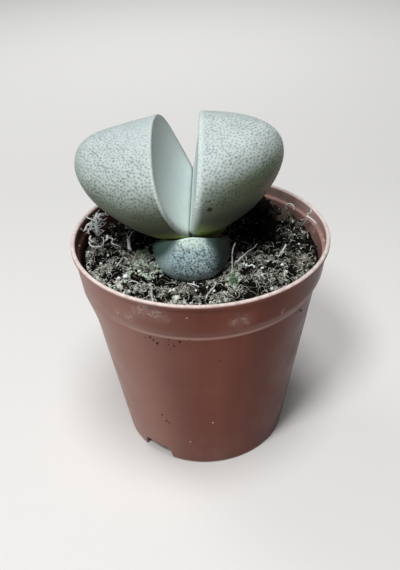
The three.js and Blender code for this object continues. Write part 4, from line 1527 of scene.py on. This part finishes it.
# The middle of the small mossy leaf, and where pale green crumbs lie: picture x and y
MOSS_LEAF = (233.5, 279.0)
GREEN_CRUMBS = (
    (138.4, 262.7), (146, 264.5), (149.5, 266.3), (135.3, 265), (131, 271), (141, 273), (150, 277),
    (158, 273), (127, 278),
)


def moss_material():
    shader = Shader("moss", Roughness=0.9)
    tufts = shader.noise(1700, 4, 0.65)
    tone = shader.maths("ADD", "tone", shader.remap(tufts, 0.3, 0.7, -0.35, 0.3))
    stops = ((0, srgb(42, 56, 38)), (0.45, srgb(112, 132, 106)), (1, srgb(214, 226, 210)))
    shader.set(Base_Color=shader.ramp(tone, *stops))
    shader.bump((tufts, 0.3), (shader.noise(5200, 2), 0.08))
    return shader.material


def make_moss():
    """Moss cushions, one small mossy leaf and the pale green crumbs round them."""
    rng = random.Random(16)
    moss = Fused()
    for x, y, size, tone in MOSS:
        points, faces = lump(4, size, rng, 0.75, 0.4)
        fuzz = 1 + wavy(points, 0.28, 0.24, x) / size
        moss.add((points * fuzz[:, None], faces), tone, seen_over_soil(x, y, 0.6))
    centre = seen_over_soil(*MOSS_LEAF, 1.3)
    for _ in range(60):
        turn = rng.uniform(0, 2 * math.pi)
        reach = math.sqrt(rng.random())
        across = 1.25 * reach * math.cos(turn)
        up = 1.45 * reach * math.sin(turn)
        place = centre + np.array([across, 0.7 * up - 0.4 * (1 - reach), 0.8 * up])
        flake = lump(3, rng.uniform(0.18, 0.42), rng, 0.4, 1.0)
        moss.add(flake, 0.2 + rng.uniform(0.4, 0.9) * reach, place)
    for x, y in GREEN_CRUMBS:
        for _ in range(13):
            crumb = lump(2, rng.uniform(0.16, 0.38), rng, 0.5, 1.0)
            place = seen_over_soil(x + rng.gauss(0, 3.2), y + rng.gauss(0, 2.4), 0.8)
            moss.add(crumb, rng.uniform(0.7, 1.05), place)
    moss.piece("soil_moss", moss_material())


# Stage, light and camera


def area_light(name, place, target, size, power):
    light = bpy.data.lights.new(name, "AREA")
    light.shape = "DISK"
    light.size = size * MM
    light.energy = power
    lamp = bpy.data.objects.new(name, light)
    bpy.context.scene.collection.objects.link(lamp)
    lamp.location = Vector(place) * MM
    aim = Vector(target) - Vector(place)
    lamp.rotation_mode = "QUATERNION"
    lamp.rotation_quaternion = aim.to_track_quat("-Z", "Y")


def make_stage():
    size = 3000
    corners = [(-size, -size, 0), (size, -size, 0), (size, size, 0), (-size, size, 0)]
    floor = mesh_object("floor", corners, [(0, 1, 2, 3)])
    shader = Shader("floor", Base_Color=srgb(238, 237, 235), Roughness=0.9)
    floor.data.materials.append(shader.material)
    floor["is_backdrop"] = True
    world = bpy.data.worlds.new("studio")
    world.use_nodes = True
    backdrop = world.node_tree.nodes["Background"]
    backdrop.inputs["Color"].default_value = (0.95, 0.97, 1.0, 1)
    backdrop.inputs["Strength"].default_value = 0.07
    bpy.context.scene.world = world
    bpy.context.scene.view_settings.view_transform = "Standard"
    target = (0, 0, 45)
    area_light("key_light", (-196, -322, 633), target, 170, 2.6)
    area_light("top_light", (20, -110, 736), target, 260, 2.3)
    area_light("back_light", (-364, 294, 563), target, 300, 0.7)
    area_light("backdrop_light", (0, 300, 420), (0, 1300, 0), 300, 1.1)


def make_camera():
    data = bpy.data.cameras.new("camera")
    data.sensor_width = SENSOR
    data.lens = FOCAL_PIXELS / PICTURE_HEIGHT * SENSOR
    data.clip_start = 0.005
    camera = bpy.data.objects.new("camera", data)
    bpy.context.scene.collection.objects.link(camera)
    right = CAMERA_FORWARD.cross(CAMERA_UP)
    turn = Matrix((right, CAMERA_UP, -CAMERA_FORWARD)).transposed().to_4x4()
    camera.matrix_world = Matrix.Translation(CAMERA_PLACE * MM) @ turn
    bpy.context.scene.camera = camera


make_camera()
make_stage()
pot = make_pot()
make_specks(pot)
leaves = make_leaves()
make_crown()
make_soil_body()
room = PlantRoom(leaves)
make_crumbs(room)
make_chips(room)
make_fibres(room)
make_roots()
make_moss()

visual_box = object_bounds()
boxes = {"cad": cad_box, "visual": visual_box}
{key: [list(corner) for corner in box] for key, box in boxes.items()}
